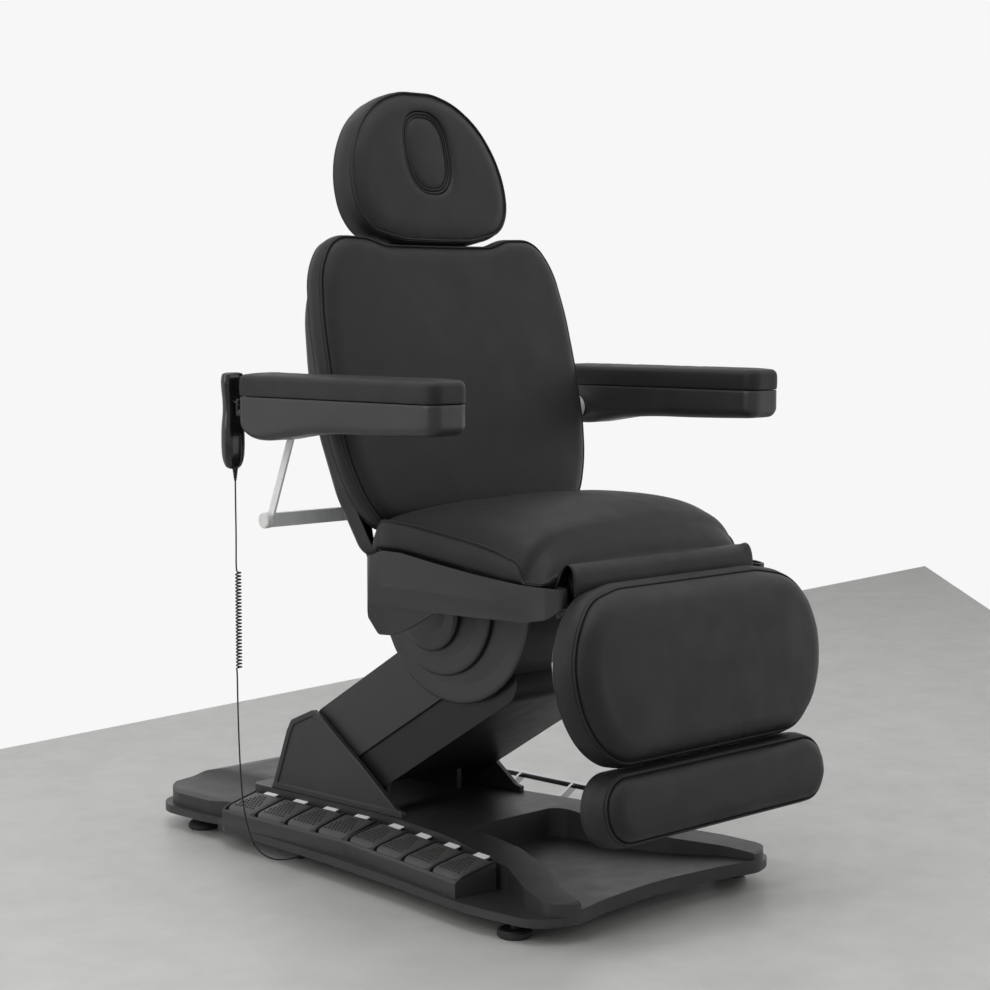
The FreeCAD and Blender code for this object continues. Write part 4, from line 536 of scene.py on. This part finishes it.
leg_shares = [(0.0, 0.0, 0.0), (0.56, 0.0, 0.45), (0.8, -0.05, 0.45),
              (0.94, -0.21, 0.5), (1.005, -0.44, 0.8), (0.968, -0.69, 0.7),
              (0.865, -0.88, 0.45), (0.7, -1.0, 0.3), (0.0, -1.0, 0.0)]
back_shares = [(0.0, 0.02, 0.0), (0.79, 0.02, 0.18), (0.905, 0.11, 0.5),
               (0.98, 0.22, 0.9), (1.02, 0.36, 1.2), (1.032, 0.56, 1.4),
               (1.022, 0.74, 1.2), (0.975, 0.92, 0.7), (0.83, 1.034, 0.42),
               (0.57, 1.03, 0.25), (0.43, 1.004, 0.2), (0.0, 1.002, 0.0)]
head_shares = [(0.0, -0.008, 0.0), (0.44, -0.004, 0.9), (0.86, 0.058, 0.6),
               (1.005, 0.205, 0.8), (1.025, 0.4, 1.5), (0.955, 0.6, 1.5),
               (0.78, 0.805, 1.1), (0.5, 0.95, 1.0), (0.21, 1.01, 0.8),
               (0.0, 1.01, 0.0)]
face_middle = Vector((0, 702.0))
face_half_x = 58.0
face_half_y = 80.0


def full_oval(turn, half_x, half_y, power=0.8):
    """A point of an oval that is fuller than an ellipse, if its power is below 1."""
    c, s = math.cos(turn), math.sin(turn)
    return Vector((math.copysign(abs(c) ** power, c) * half_x,
                   math.copysign(abs(s) ** power, s) * half_y))


def hole_line(line):
    """Points on the face hole's oval, each towards its place on the outline."""
    turns = [math.atan2((p.y - face_middle.y) / face_half_y, p.x / face_half_x) for p in line]
    return [face_middle + full_oval(turn, face_half_x, face_half_y) for turn in turns]


head_line = rounded(outline(head_shares, 194.0, 287.0, 533.0), 3.6)
pad("leg_pad", "legrest", in_leg, rounded(outline(leg_shares, 324.0, 299.4), 4.0), 42.0, 27.0,
    "leg_cushion", seed=2.1, seam=0.16, back=0.03, edge=36.0, shoulder=0.82, roll=80.0)
pad("foot_pad", "footrest", in_leg, box_line(290.0, -425.0, -300.4, 62.0, 4.0), 52.0, 19.0,
    "foot_cushion", seed=3.3, seam=0.12, back=0.03, edge=26.0, shoulder=0.80)
pad("back_pad", "backrest", in_back, rounded(outline(back_shares, 309.0, 530.0), 4.5), 38.0, 21.0,
    "back_cushion", seed=5.2, seam=0.12, edge=30.0, shoulder=0.55)
pad("head_pad", "headrest", in_back, head_line, 50.0, 9.0, "head_cushion", seed=7.7, seam=0.09,
    base=-6.0, back=0.03, hole=hole_line(head_line))


# Seat cushion: sections as place along the length, half width, under edge, seam and crown

seat_front = -526.0
seat_length = 474.0
seat_half = 288.0
seat_base = 584.0
seat_height = 110.0
seat_bulge = 6.0
seat_steps = 30
seat_sections = [
    (0.087, 0.95, 0.04, 0.06, 0.3), (0.1, 0.958, 0.04, 0.062, 0.46),
    (0.134, 0.968, 0.045, 0.066, 0.69), (0.154, 0.974, 0.05, 0.09, 0.8),
    (0.172, 0.979, 0.055, 0.27, 0.88), (0.24, 0.987, 0.08, 0.43, 1.02),
    (0.34, 0.996, 0.14, 0.545, 1.13), (0.54, 1.0, 0.25, 0.67, 1.165),
    (0.75, 1.0, 0.345, 0.77, 1.07), (0.85, 0.99, 0.35, 0.785, 0.93),
    (0.885, 0.978, 0.345, 0.765, 0.85), (0.903, 0.972, 0.335, 0.72, 0.78),
    (0.92, 0.964, 0.32, 0.64, 0.68), (0.937, 0.952, 0.3, 0.52, 0.55),
    (0.95, 0.936, 0.285, 0.4, 0.42),
]


def seat_ring(a):
    """Half a section of the seat cushion, from the middle of its under side over the seam."""
    inner = seat_half * hermite(seat_sections, a, 1) - seat_bulge
    low, high, top = (seat_base + seat_height * hermite(seat_sections, a, k) for k in (2, 3, 4))
    y = seat_front + seat_length * a
    points = [(0.0, seat_base), (inner * 0.5, seat_base),
              (inner - 24, seat_base + (low - seat_base) * 0.2), (inner - 8, low - 1.0)]
    for k in range(9):
        t = k / 8
        points.append((inner + seat_bulge * math.sin(math.pi * t) ** 0.8, low + (high - low) * t))
    for k in range(6):
        turn = math.radians(-40 + 36 * k)
        points.append((inner - 1.2 + pipe_radius * math.cos(turn),
                       high + 0.8 + pipe_radius * math.sin(turn)))
    start = inner - pipe_radius * 2.2
    for k in range(seat_steps + 1):
        x = start * (1 - (k / seat_steps) ** 1.5)
        far = start - x
        z = high - 1.4 + (1.4 + (top - high) * 0.66) * (1 - math.exp(-far / 24.0))
        z += (top - high) * 0.34 * math.sin(min(1.0, far / start) * quarter)
        fold = puckers(y / 4.0, 4.0, far, 11.3) * min(1.0, far / pucker_start)
        points.append((x, z + (fold + broad_wave(x, y, 9.4, 1.5, far))))
    return y, points


def seat_cushion():
    """The crowned seat cushion with a seam along each side and a rounded front."""
    first, second, third, last = 0.087, 0.2, 0.885, 0.950
    places = [first + (second - first) * k / 18 for k in range(18)]
    places += [second + (third - second) * k / 44 for k in range(45)]
    places += [third + (last - third) * k / 9 for k in range(1, 10)]
    sections = []
    for a in places:
        y, half = seat_ring(a)
        sections.append((y, half + [(-x, z) for x, z in reversed(half[1:-1])]))

    def ended(y, section, steps):
        level = sum(z for x, z in section) / len(section)
        return [(y + shift, [(x * size, level + (z - level) * size) for x, z in section])
                for shift, size in steps]
    front = ended(*sections[0], [(-4.2, 0.90), (-3.6, 0.95), (-2.0, 0.985)])
    rear = ended(*sections[-1], [(1.5, 0.992), (2.8, 0.965), (3.6, 0.91), (4.0, 0.80)])
    rings = [[in_chair(x, y, z) for x, z in section] for y, section in front + sections + rear]
    piece = ring_form("seat_pad", rings, leather, "seat")
    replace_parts(piece, "seat_cushion")


seat_cushion()


# Seat flap: a folded sheet over the leg hinge, wide round the lugs and pinched at its ends

flap_low_x = -247.0
flap_high_x = 212.0
flap_over_lugs = [(-487.0, 592.0), (-486.5, 601.0), (-490.5, 611.0), (-499.5, 619.0),
                  (-512.0, 622.0), (-524.0, 619.5), (-533.5, 611.5), (-537.4, 600.0),
                  (-538.4, 588.0), (-538.2, 573.0)]
flap_at_end = [(-494.0, 583.0), (-499.0, 590.5), (-504.0, 600.0), (-509.0, 611.0),
               (-514.5, 620.5), (-521.5, 624.5), (-529.5, 621.5), (-535.0, 611.0),
               (-538.0, 594.0), (-538.4, 570.5)]
flap_thickness = 2.2
flap_end = 18.0
flap_columns = 97
flap_steps = 48


def sheet_faces(rings, size):
    """Faces of a sheet whose points are the rings of one side, then those of the other."""
    base = rings * size
    side = ring_faces(rings, size, closed=False)
    edges = [(j * size + k, (j + 1) * size + k) for j in range(rings - 1) for k in (0, size - 1)]
    edges += [(j * size + k, j * size + k + 1) for k in range(size - 1) for j in (0, rings - 1)]
    return (side + [tuple(base + v for v in reversed(face)) for face in side]
            + [(a, b, base + b, base + a) for a, b in edges])


def flap_section(x, end_share):
    """The folded sheet's line at one place across the chair."""
    line = []
    for k in range(flap_steps + 1):
        place = k / flap_steps * (len(flap_over_lugs) - 1)
        spot = []
        for axis in (1, 2):
            values = [hermite([(i, *p) for i, p in enumerate(form)], place, axis)
                      for form in (flap_over_lugs, flap_at_end)]
            spot.append(values[0] + (values[1] - values[0]) * end_share)
        spot[0] += noise.noise(Vector((x / 60.0, k / 9.0, 2.2))) * 0.5
        spot[1] += noise.noise(Vector((x / 80.0, k / 14.0, 6.2))) * 0.7
        line.append(Vector(spot))
    return line


def seat_flap():
    """A thin sheet with both its faces and its edges."""
    outer = []
    inner = []
    length = 0.0
    for j in range(flap_columns):
        x = flap_low_x + (flap_high_x - flap_low_x) * j / (flap_columns - 1)
        share = max(0.0, 1 - min(x - flap_low_x, flap_high_x - x) / flap_end)
        line = flap_section(x, share * share * (3 - 2 * share))
        length += sum((b - a).length for a, b in zip(line, line[1:])) / flap_columns
        for k, p in enumerate(line):
            along = (line[min(k + 1, flap_steps)] - line[max(k - 1, 0)]).normalized()
            side = Vector((along.y, -along.x)) * flap_thickness / 2
            outer.append(in_chair(x, p.x + side.x, p.y + side.y))
            inner.append(in_chair(x, p.x - side.x, p.y - side.y))
    faces = sheet_faces(flap_columns, flap_steps + 1)
    piece = add_mesh("seat_front_flap", outer + inner, faces, leather, None)
    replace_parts(piece, "seat_flap")
    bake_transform(piece)


seat_flap()


# Arm pads and shells

arm_inner = 361.0
arm_outer = 448.0
arm_front = -418.0
arm_rear = 80.0
arm_seam = 886.0
arm_under = [(0.0, 0.36), (0.03, 0.325), (0.1, 0.305), (0.3, 0.272), (0.52, 0.25),
             (0.66, 0.19), (0.76, 0.095), (0.855, 0.01), (0.93, 0.04), (0.97, 0.15),
             (1.0, 0.33)]
arm_depth = 76.0
tray_edge = 17.0
tray_top = 880.0


def arm_line(side):
    """An armrest's plan; its front corners are rounder than its rear ones."""
    inner, outer = side * arm_inner, side * arm_outer
    return rounded([(inner, arm_front, 24.4), (outer, arm_front, 24.4), (outer, arm_rear, 17.4),
                    (inner, arm_rear, 17.4)], 3.0)


def arm_bottom(p, i=0):
    """Height of an armrest's under side at a point of its plan."""
    share = min(1.0, max(0.0, (p.y - arm_front) / (arm_rear - arm_front)))
    return arm_seam - arm_depth + arm_depth * hermite(arm_under, share, 1)


def arm_pad(side, name):
    """The padded top of an armrest, with a drawn-in seam and soft edges."""
    def skin(level, soft):
        def at(p, i):
            fold = puckers(i, 3.0, 4.0, 13.0 + side) * soft
            return level + fold + noise.noise(Vector((p.x / 50, p.y / 70, 4.4 + side))) * soft
        return at
    steps = [(6.0, 886.4), (2.6, 886.4), (1.0, 887.0), (0.2, 888.6), (0.0, 891.0)]
    steps += [(-0.4 * math.sin(math.pi * k / 6), 891.0 + 21.0 * k / 6) for k in range(1, 7)]
    turns = [quarter * k / 8 for k in range(1, 9)]
    steps += [(13.0 * (1 - math.cos(turn)), 912.0 + 12.0 * math.sin(turn)) for turn in turns]
    steps += [(17.0, skin(924.9, 0.3)), (22.0, skin(925.7, 0.5)), (28.0, skin(926.3, 0.6)),
              (34.0, skin(926.6, 0.6)), (38.5, skin(926.8, 0.5))]
    piece = stacked("arm_pad_" + name, arm_line(side), steps, in_chair, leather, "armrests")
    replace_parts(piece, "armrest_cushion_" + name)


def arm_shell(side, name):
    """The moulded tray under an arm pad, its under side deep over the hub."""
    steps = [(9.0, 885.2), (1.6, 885.2), (1.0, 884.6), (0.9, tray_top)]
    for k in range(1, 5):
        steps.append((0.9, lambda p, i, t=k / 5: tray_top - (tray_top - arm_bottom(p) - tray_edge) * t))
    for k in range(0, 9):
        turn = quarter * k / 8
        steps.append((0.9 + tray_edge * (1 - math.cos(turn)),
                      lambda p, i, s=math.sin(turn): arm_bottom(p) + tray_edge * (1 - s)))
    steps += [(inset, arm_bottom) for inset in (24.0, 31.0, 38.0)]
    piece = stacked("arm_tray_" + name, arm_line(side), steps, in_chair, arm_plastic, "armrests")
    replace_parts(piece, "armrest_shell_" + name)


for side, name in sides:
    arm_pad(side, name)
for side, name in sides:
    arm_shell(side, name)
hook_side = [(64.0, 850.0, 1.0), (95.0, 850.0, 3.0), (95.0, 880.0, 2.6), (89.0, 880.0, 2.6),
             (89.0, 862.0, 2.0), (64.0, 862.0, 1.0)]
hook_steps = [(1.0, -436.0), (0.3, -435.7), (0, -435.0), (0, -425.0), (0.3, -424.3), (1.0, -424.0)]
stacked("handset_hook", rounded(hook_side, 1.5), hook_steps,
        lambda a, b, level: in_chair(level, a, b), arm_plastic, "armrests")


# Plug of the face hole, with a double piped rim

plug_gap = 0.9


def oval(power):
    """The plug's outline; the lower the power, the fuller the oval."""
    half_x, half_y = face_half_x - plug_gap, face_half_y - plug_gap
    turns = [2 * math.pi * k / 120 for k in range(120)]
    return [face_middle + full_oval(turn, half_x, half_y, power) for turn in turns]


def bead(inset, level, radius):
    """Steps over a piped bead, as (inset, level)."""
    turns = [math.radians(200 - 40 * k) for k in range(7)]
    return [(inset + radius * math.cos(turn), level + radius * math.sin(turn)) for turn in turns]


stem = [(4.0, -11.6), (0.6, -11.6), (0.0, -10.5), (0.0, 4.0), (0.6, 5.0)]
stacked("face_plug_stem", oval(1.0), stem, in_back, leather, "face_plug")
plug_front = [(6.0, 1.2), (0.6, 1.2), (0.0, 2.0), (0.0, 10.0), (0.0, 38.0), (0.2, 42.0),
              *bead(2.8, 45.0, 2.5), (5.6, 43.8), (6.4, 44.0), *bead(8.6, 45.4, 1.8),
              (11.0, 44.2), (12.6, 46.4), (15.6, 48.4), (20.0, 50.2), (27.0, 51.6), (34.0, 52.4),
              (44.0, 52.8), (54.0, 53.0)]
face_plug = stacked("face_plug_pad", oval(0.8), plug_front, in_back, leather, "face_plug")
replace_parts(face_plug, "face_plug")


# Foot controls: each pedal a domed plate with a tread and a blank label beside it

bank_inner = 166.0
bank_depth = 86.0
bank_fall = 21.0
bank_inner_top = 96.0
bank_turn = math.radians(-9.0)
bank_turn_y = 28.0
pedal_pitch = 88.5
pedal_start = 382.0
pedal_half = 40.0
pedal_low = 9.2
pedal_high = 80.8
pedal_edge = 3.0
tread_pitch = 8.8
tread_first = 22.0
tread_step = 7.4
rib_radius = 2.1


def in_bank(index):
    """Places a point: along the bank from the pedal's middle, outwards and above the bank."""
    middle = pedal_start - (index + 0.5) * pedal_pitch
    c, s = math.cos(bank_turn), math.sin(bank_turn)

    def place(along, depth, level):
        x = -bank_inner - depth
        y = middle + along
        z = bank_inner_top - bank_fall * depth / bank_depth + level
        if index >= 4:
            dx, dy = x + bank_inner + bank_depth, y - bank_turn_y
            x = -bank_inner - bank_depth + dx * c - dy * s
            y = bank_turn_y + dx * s + dy * c
        return in_chair(x, y, z)
    return place


def dome(along, depth):
    """Height of a pedal's face: a soft crown that rolls down at the outer end."""
    across = along / pedal_half
    end = max(0.0, (depth - 62.0) / 18.0)
    return 2.6 * (1 - across ** 4) - 4.2 * end ** 2.2


def domed(level):
    """A level of the pedal's plate; at its flat under side the crown is left out."""
    def at(p, i):
        lift = dome(p.x, p.y)
        return level + (lift if level > -5.5 else min(0.0, lift))
    return at


def pedal_plate(index, place, body):
    line = rounded([(-pedal_half + 1.5, pedal_low, 5.0), (pedal_half - 1.5, pedal_low, 5.0),
                    (pedal_half, pedal_high, 15.0), (-pedal_half, pedal_high, 15.0)], 2.5)
    steps = [(3.0, -6.0), (0.6, -6.0), (0.0, -5.2), (0.0, 1.0)]
    turns = [quarter * k / 4 for k in range(1, 5)]
    steps += [(2.6 * (1 - math.cos(turn)), 1.0 + 2.0 * math.sin(turn)) for turn in turns]
    steps += [(inset, 3.0) for inset in (5.0, 9.0, 14.0, 20.0, 27.0, 33.0)]
    steps = [(inset, domed(level)) for inset, level in steps]
    name = "pedal_plate_" + str(index + 1)
    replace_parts(stacked(name, line, steps, place, pedal_plastic, body, pedal_edge), body)


def pedal_tread(index, place, body):
    """Rows of small three-sided studs that narrow towards the inner end, coloured near black as painted
    shade of the tread's dimples.
    """
    points = []
    faces = []
    stud_faces = ring_faces(3, 6) + [tuple(range(12, 18)), tuple(range(5, -1, -1))]
    for row in range(7):
        depth = tread_first + tread_step * row
        half = 12.0 + 16.0 * min(1.0, row / 3)
        for k in range(-4, 5):
            along = (k + (0.5 if row % 2 else 0.0)) * tread_pitch
            if abs(along) > half:
                continue
            faces.extend(tuple(len(points) + v for v in face) for face in stud_faces)
            for radius, lift in ((3.2, 2.7), (2.6, 4.0), (1.3, 4.3)):
                for corner in range(6):
                    turn = math.pi / 3 * corner + quarter
                    reach = radius * (0.66 if corner % 2 else 1.0)
                    a, d = along + reach * math.cos(turn), depth + reach * math.sin(turn)
                    points.append(place(a, d, lift + dome(a, d)))
    add_mesh("pedal_tread_" + str(index + 1), points, faces, painted_shade_tread, body, smooth=False)


def bank_trim(index, place):
    """The blank label on the bank's inner rim, and the raised ribs between the pedals."""
    number = str(index + 1)
    steps = [(0.0, 0.1), (0.0, 2.4), (0.3, 2.75), (0.8, 2.8), (3.0, 2.8)]
    stacked("pedal_label_" + number, box_line(17.0, -7.0, 8.6, 1.2, 1.5), steps, place, label_white,
            "base")
    end_rib = pedal_pitch / 2 - 1.6
    ribs = [pedal_pitch / 2 if index % 4 else end_rib]
    if index % 4 == 3:
        ribs.append(-end_rib)
    for which, along in enumerate(ribs):
        depths = [4.0 + 79.0 * k / 24 for k in range(25)]
        path = [place(along, d, 3.0 - 4.6 * max(0.0, (d - 64.0) / 18.0) ** 2.2) for d in depths]
        tube("bank_rib_" + number + "_" + str(which), path, rib_radius * mm, plastic, "base")


for index in range(8):
    place = in_bank(index)
    body = "pedal_" + str(index + 1)
    pedal_plate(index, place, body)
    pedal_tread(index, place, body)
    bank_trim(index, place)


# Handset: a waisted glossy case, its keys, hanging loop and ribbed strain relief

handset_x = -430.0
handset_y = 110.0
handset_half_x = 22.4
handset_half_y = 12.4
handset_power = 2.9
handset_sides = 64
handset_profile = [
    (757.0, 0.34, 0.42), (759.5, 0.56, 0.6), (765.0, 0.74, 0.78), (775.0, 0.9, 0.92),
    (790.0, 0.98, 0.99), (810.0, 1.0, 1.0), (832.0, 0.97, 0.96), (858.0, 0.86, 0.86),
    (878.0, 0.88, 0.86), (898.0, 0.97, 0.93), (912.0, 0.99, 0.95), (920.0, 0.93, 0.88),
    (924.5, 0.8, 0.72), (926.0, 0.55, 0.46),
]
handset_levels = [757.0, 757.6, 758.4, 759.5, 761.0, 763.0, *(765.0 + 3.0 * k for k in range(50)),
                  914.0, 916.5, 918.5, 920.5, 922.0, 923.3, 924.5, 925.2, 925.7, 926.0]
patch_rows = 17


def handset_size(z):
    """Half width and half depth of the case at a height."""
    return (handset_half_x * hermite(handset_profile, z, 1),
            handset_half_y * hermite(handset_profile, z, 2))


def handset_ring(z):
    """The case's section at a height."""
    turns = [2 * math.pi * k / handset_sides for k in range(handset_sides)]
    spots = [full_oval(turn, *handset_size(z), 2 / handset_power) for turn in turns]
    return [in_chair(handset_x + p.x, handset_y + p.y, z) for p in spots]


def on_handset(low, high, start, end, lift, name, material):
    """A thin patch on the case's rear face, a little proud of it."""
    last = patch_rows - 1
    points = []
    for layer in (-0.4, lift):
        for j in range(patch_rows):
            t = j / last
            narrow = 0.3 * (max(0.0, abs(2 * t - 1) - 0.7) / 0.3) ** 2
            z = low + (high - low) * t
            wide, deep = handset_size(z)
            for k in range(patch_rows):
                x = start + (end - start) * ((k / last - 0.5) * (1 - narrow) + 0.5)
                share = min(0.999, abs(x) / wide)
                y = deep * (1 - share ** handset_power) ** (1 / handset_power)
                inside = min(j, last - j, k, last - k)
                proud = layer if inside or layer < 0 else 0.05
                points.append(in_chair(handset_x + x, handset_y + y + proud, z))
    return add_mesh(name, points, sheet_faces(patch_rows, patch_rows), material, "handset")


case = ring_form("handset_body", [handset_ring(z) for z in handset_levels], handset_gloss, "handset")
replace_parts(case, "handset_case")
keypad = on_handset(832.0, 916.0, -14.5, 14.5, 0.35, "handset_key_field", membrane)
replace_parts(keypad, "handset_keypad")
for row in range(5):
    for middle, letter in ((-7.0, "a"), (7.0, "b")):
        z = 842.0 + 15.0 * row
        on_handset(z - 4.6, z + 4.6, middle - 5.2, middle + 5.2, 1.1,
                   "handset_key_" + str(row) + letter, button_grey)
relief_profile = [(758.5, 5.0), (757.0, 5.2)]
for k in range(7):
    top = 756.0 - 2.9 * k
    radius = 5.0 - 0.38 * k
    relief_profile += [(top, radius), (top - 1.5, radius - 0.1), (top - 1.7, radius - 0.9),
                       (top - 2.7, radius - 1.0)]
relief_profile += [(735.6, 2.3), (735.0, 1.7)]
turns = [2 * math.pi * k / 28 for k in range(28)]
relief_rings = [[in_chair(-426.0 + radius * math.cos(turn), handset_y + radius * math.sin(turn), z)
                 for turn in turns] for z, radius in relief_profile]
strain_relief = ring_form("handset_strain_relief", relief_rings, rubber, "handset")
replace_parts(strain_relief, "handset_relief")
loop_side = [(98.5, 876.0), (89.5, 874.0), (86.6, 869.5)]
hanger = [in_chair(-438.0, y, z) for y, z in loop_side]
hanger += [in_chair(-422.0, y, z) for y, z in reversed(loop_side)]
tube("handset_loop", hanger, 1.5 * mm, case_plastic, "handset")


# Fan covers: a rolled lip along each one's edge

lip_section = [(0.5, 0.2), (0.7, 1.6), (0.2, 3.6), (-1.6, 5.0), (-4.5, 5.5), (-9.0, 5.2), (-16.0, 4.4),
               (-24.0, 3.6), (-31.0, 3.1), (-34.0, 2.6), (-20.0, 1.0)]
lip_flat = 2.9
lip_steps = 90


def lip(name, y, z, radius, end, x, body):
    """A soft raised lip along an arc that starts at the front and fades out at its rear."""
    for side, side_name in sides:
        rings = []
        for k in range(lip_steps + 1):
            share = k / lip_steps
            turn = math.radians(180.0 + (end - 180.0) * share)
            fade = min(1.0, (1 - share) / 0.35)
            fade = fade * fade * (3 - 2 * fade)
            ring = []
            for reach, out in lip_section:
                r = radius + reach
                lift = min(out, lip_flat) + max(0.0, out - lip_flat) * fade
                ring.append(in_chair(side * (x + lift), y + r * math.cos(turn), z + r * math.sin(turn)))
            rings.append(ring)
        ring_form(name + "_" + side_name, rings, fan_plastic, body)


lip("fan_lower_lip", -160.0, 528.0, 188.0, 340.0, 150.0, "carriage")
lip("fan_middle_lip", -130.0, 515.0, 128.0, 320.0, 156.0, "fan")
lip("fan_upper_lip", -108.0, 502.0, 73.0, 360.0, 162.0, "seat")


# Trim round the slot on each side of the leg's cover

def slot_trim(side, name):
    """The trim, and a near-black patch in it that is painted shade for the slot's inside, laid where
    lines across meet the shell's side.
    """
    shell = nodes["leg_shell"].data
    tree = BVHTree.FromPolygons([v.co for v in shell.vertices],
                                [tuple(p.vertices) for p in shell.polygons])
    for depth in (-36.0, -34.0, -32.0, -30.0, -28.0):
        low, high = (tree.ray_cast(in_leg(side * 400.0, -134.0 + share * 16.0, depth - share * 5.0),
                                   Vector((-side, 0, 0)))[0] for share in (-1.0, 1.0))
        if low and high:
            break
    middle = (low + high) / 2
    along = (high - low).normalized()
    across = (in_leg(0, 0, 1) - in_leg(0, 0, 0)).normalized()
    out = along.cross(across).normalized()
    if out.x * side < 0:
        out = -out

    def place(a, b, level):
        return middle + along * a * mm + across * b * mm + out * level * mm
    steps = [(0.0, -2.0), (0.0, 0.7), (0.4, 1.2), (1.3, 1.2), (1.7, 0.8), (1.7, 0.2), (2.6, 0.1)]
    rim = box_line(19.0, -4.4, 4.4, 4.3, 1.0)
    stacked("leg_slot_trim_" + name, rim, steps, place, silver, "legrest")
    # A near-black patch a little proud of the shell: painted shade in place of the slot's hollow
    slot = box_line(16.6, -2.2, 2.2, 2.1, 1.0)
    stacked("leg_slot_painted_shade_" + name, slot, [(0.0, 0.1), (0.0, 0.45), (0.9, 0.5)], place, painted_slot_shade,
            "legrest")


for side, name in sides:
    slot_trim(side, name)


# Softer edges on the moulded covers and frames that keep their CAD form

def clean_mesh_group():
    """Geometry nodes that join the faces again and drop the stored normals."""
    group = bpy.data.node_groups.new("clean_mesh", "GeometryNodeTree")
    for way in ("INPUT", "OUTPUT"):
        group.interface.new_socket(name="Geometry", in_out=way, socket_type="NodeSocketGeometry")
    kinds = ["NodeGroupInput", "GeometryNodeMergeByDistance", "GeometryNodeRemoveAttribute",
             "GeometryNodeRemoveAttribute", "GeometryNodeSetShadeSmooth", "NodeGroupOutput"]
    chain = [group.nodes.new(kind) for kind in kinds]
    chain[1].inputs["Distance"].default_value = 0.00004
    chain[2].inputs["Name"].default_value = "custom_normal"
    chain[3].inputs["Name"].default_value = "sharp_edge"
    chain[4].domain = "FACE"
    for a, b in zip(chain, chain[1:]):
        group.links.new(a.outputs[0], b.inputs["Geometry"])
    return group


def soften(node, width, group):
    """Rounds a node's sharp edges to a width in mm."""
    clean = node.modifiers.new("clean", "NODES")
    clean.node_group = group
    flat = node.modifiers.new("flat", "DECIMATE")
    flat.decimate_type = "DISSOLVE"
    flat.angle_limit = math.radians(0.6)
    edge = node.modifiers.new("edge", "BEVEL")
    edge.width = width * mm
    edge.segments = 3
    edge.limit_method = "ANGLE"
    edge.angle_limit = math.radians(30.0)
    edge.use_clamp_overlap = True
    normal = node.modifiers.new("normal", "WEIGHTED_NORMAL")
    normal.keep_sharp = False


soft_edges = [
    (3.5, "base_shell"), (3.0, "lift_housing"), (2.0, "control_box"), (1.8, "seat_shell"),
    (1.5, "pedal_bank_rear pedal_bank_front"), (1.4, "lower_cover upper_cover leg_shell"),
    (1.0, "arm_frame arm_bar_caps base_frame lower_link upper_link carriage level_link seat_board "
          "back_board head_board"),
    (0.8, "fan_lower fan_middle fan_upper seat_frame leg_frame foot_frame back_frame "
          "foot_bar_bracket"),
]
clean_group = clean_mesh_group()
for width, names in soft_edges:
    for name in names.split():
        soften(nodes[name], width, clean_group)


# Scene

def stage_plane(name, corners, material):
    data = bpy.data.meshes.new(name)
    data.from_pydata(corners, [], [(0, 1, 2, 3)])
    data.materials.append(material)
    put(name, data)


floor_material = textured("pale_floor", (0.545, 0.542, 0.53), 0.42, grain=60.0, relief=0.05, vary=0.05,
                          depth=0.001)

# The backdrop glows for the camera and in reflections; from behind it can be seen through
backdrop = bpy.data.materials.new("backdrop")
backdrop.use_nodes = True
tree = backdrop.node_tree
tree.nodes.remove(tree.nodes["Principled BSDF"])
rays = add_node(tree, "LightPath").outputs
seen = add_node(tree, "Math", {}, {0: rays["Is Camera Ray"], 1: rays["Is Glossy Ray"]},
                operation="MAXIMUM")
plain = add_node(tree, "BsdfDiffuse", {"Color": (0.85, 0.85, 0.85, 1)})
glow = add_node(tree, "Emission", {"Color": (0.93, 0.93, 0.93, 1)})
front = add_node(tree, "MixShader", {}, {"Fac": seen.outputs["Value"], 1: plain.outputs["BSDF"],
                                         2: glow.outputs["Emission"]})
facing = add_node(tree, "NewGeometry").outputs["Backfacing"]
behind = add_node(tree, "Math", {}, {0: facing, 1: rays["Is Camera Ray"]}, operation="MULTIPLY")
clear = add_node(tree, "BsdfTransparent")
one_sided = add_node(tree, "MixShader", {}, {"Fac": behind.outputs["Value"], 1: front.outputs["Shader"],
                                             2: clear.outputs["BSDF"]})
tree.links.new(one_sided.outputs["Shader"], tree.nodes["Material Output"].inputs["Surface"])

floor_half = 9
wall_foot = -0.01
wall_top = 6
wall_left = (-5.5, 0.875)
wall_corner = (4.544, 2.023)
wall_right = (0.5, -1.9)
floor_corners = [(x * floor_half, y * floor_half, 0) for x, y in ((-1, -1), (1, -1), (1, 1), (-1, 1))]
stage_plane("floor", floor_corners, floor_material)
for name, a, b in (("wall_left", wall_left, wall_corner), ("wall_right", wall_corner, wall_right)):
    stage_plane(name, [(*a, wall_foot), (*b, wall_foot), (*b, wall_top), (*a, wall_top)], backdrop)

world = bpy.data.worlds.new("studio")
bpy.context.scene.world = world
world.use_nodes = True
tree = world.node_tree
background = tree.nodes["Background"]
background.inputs["Color"].default_value = (1, 1, 1, 1)
level = add_node(tree, "MapRange", {"To Min": 0.55, "To Max": 1.0},
                 {"Value": add_node(tree, "LightPath").outputs["Is Camera Ray"]})
tree.links.new(level.outputs["Result"], background.inputs["Strength"])


def soft_light(name, where, aim, size, power):
    data = bpy.data.lights.new(name, "AREA")
    data.shape = "RECTANGLE"
    data.size, data.size_y = size
    data.energy = power
    lamp = put(name, data)
    lamp.location = where
    lamp.rotation_euler = (Vector(aim) - Vector(where)).to_track_quat("-Z", "Y").to_euler()


soft_light("top_box", (-0.4, -0.4, 3.4), (0, 0, 0.6), (2.4, 2.4), 35.0)
soft_light("left_box", (-3.2, 0.2, 2.0), (0, 0, 0.8), (1.6, 2.2), 26.0)
soft_light("right_box", (1.6, -3.2, 1.8), (0, -0.2, 0.8), (1.4, 2.0), 14.0)
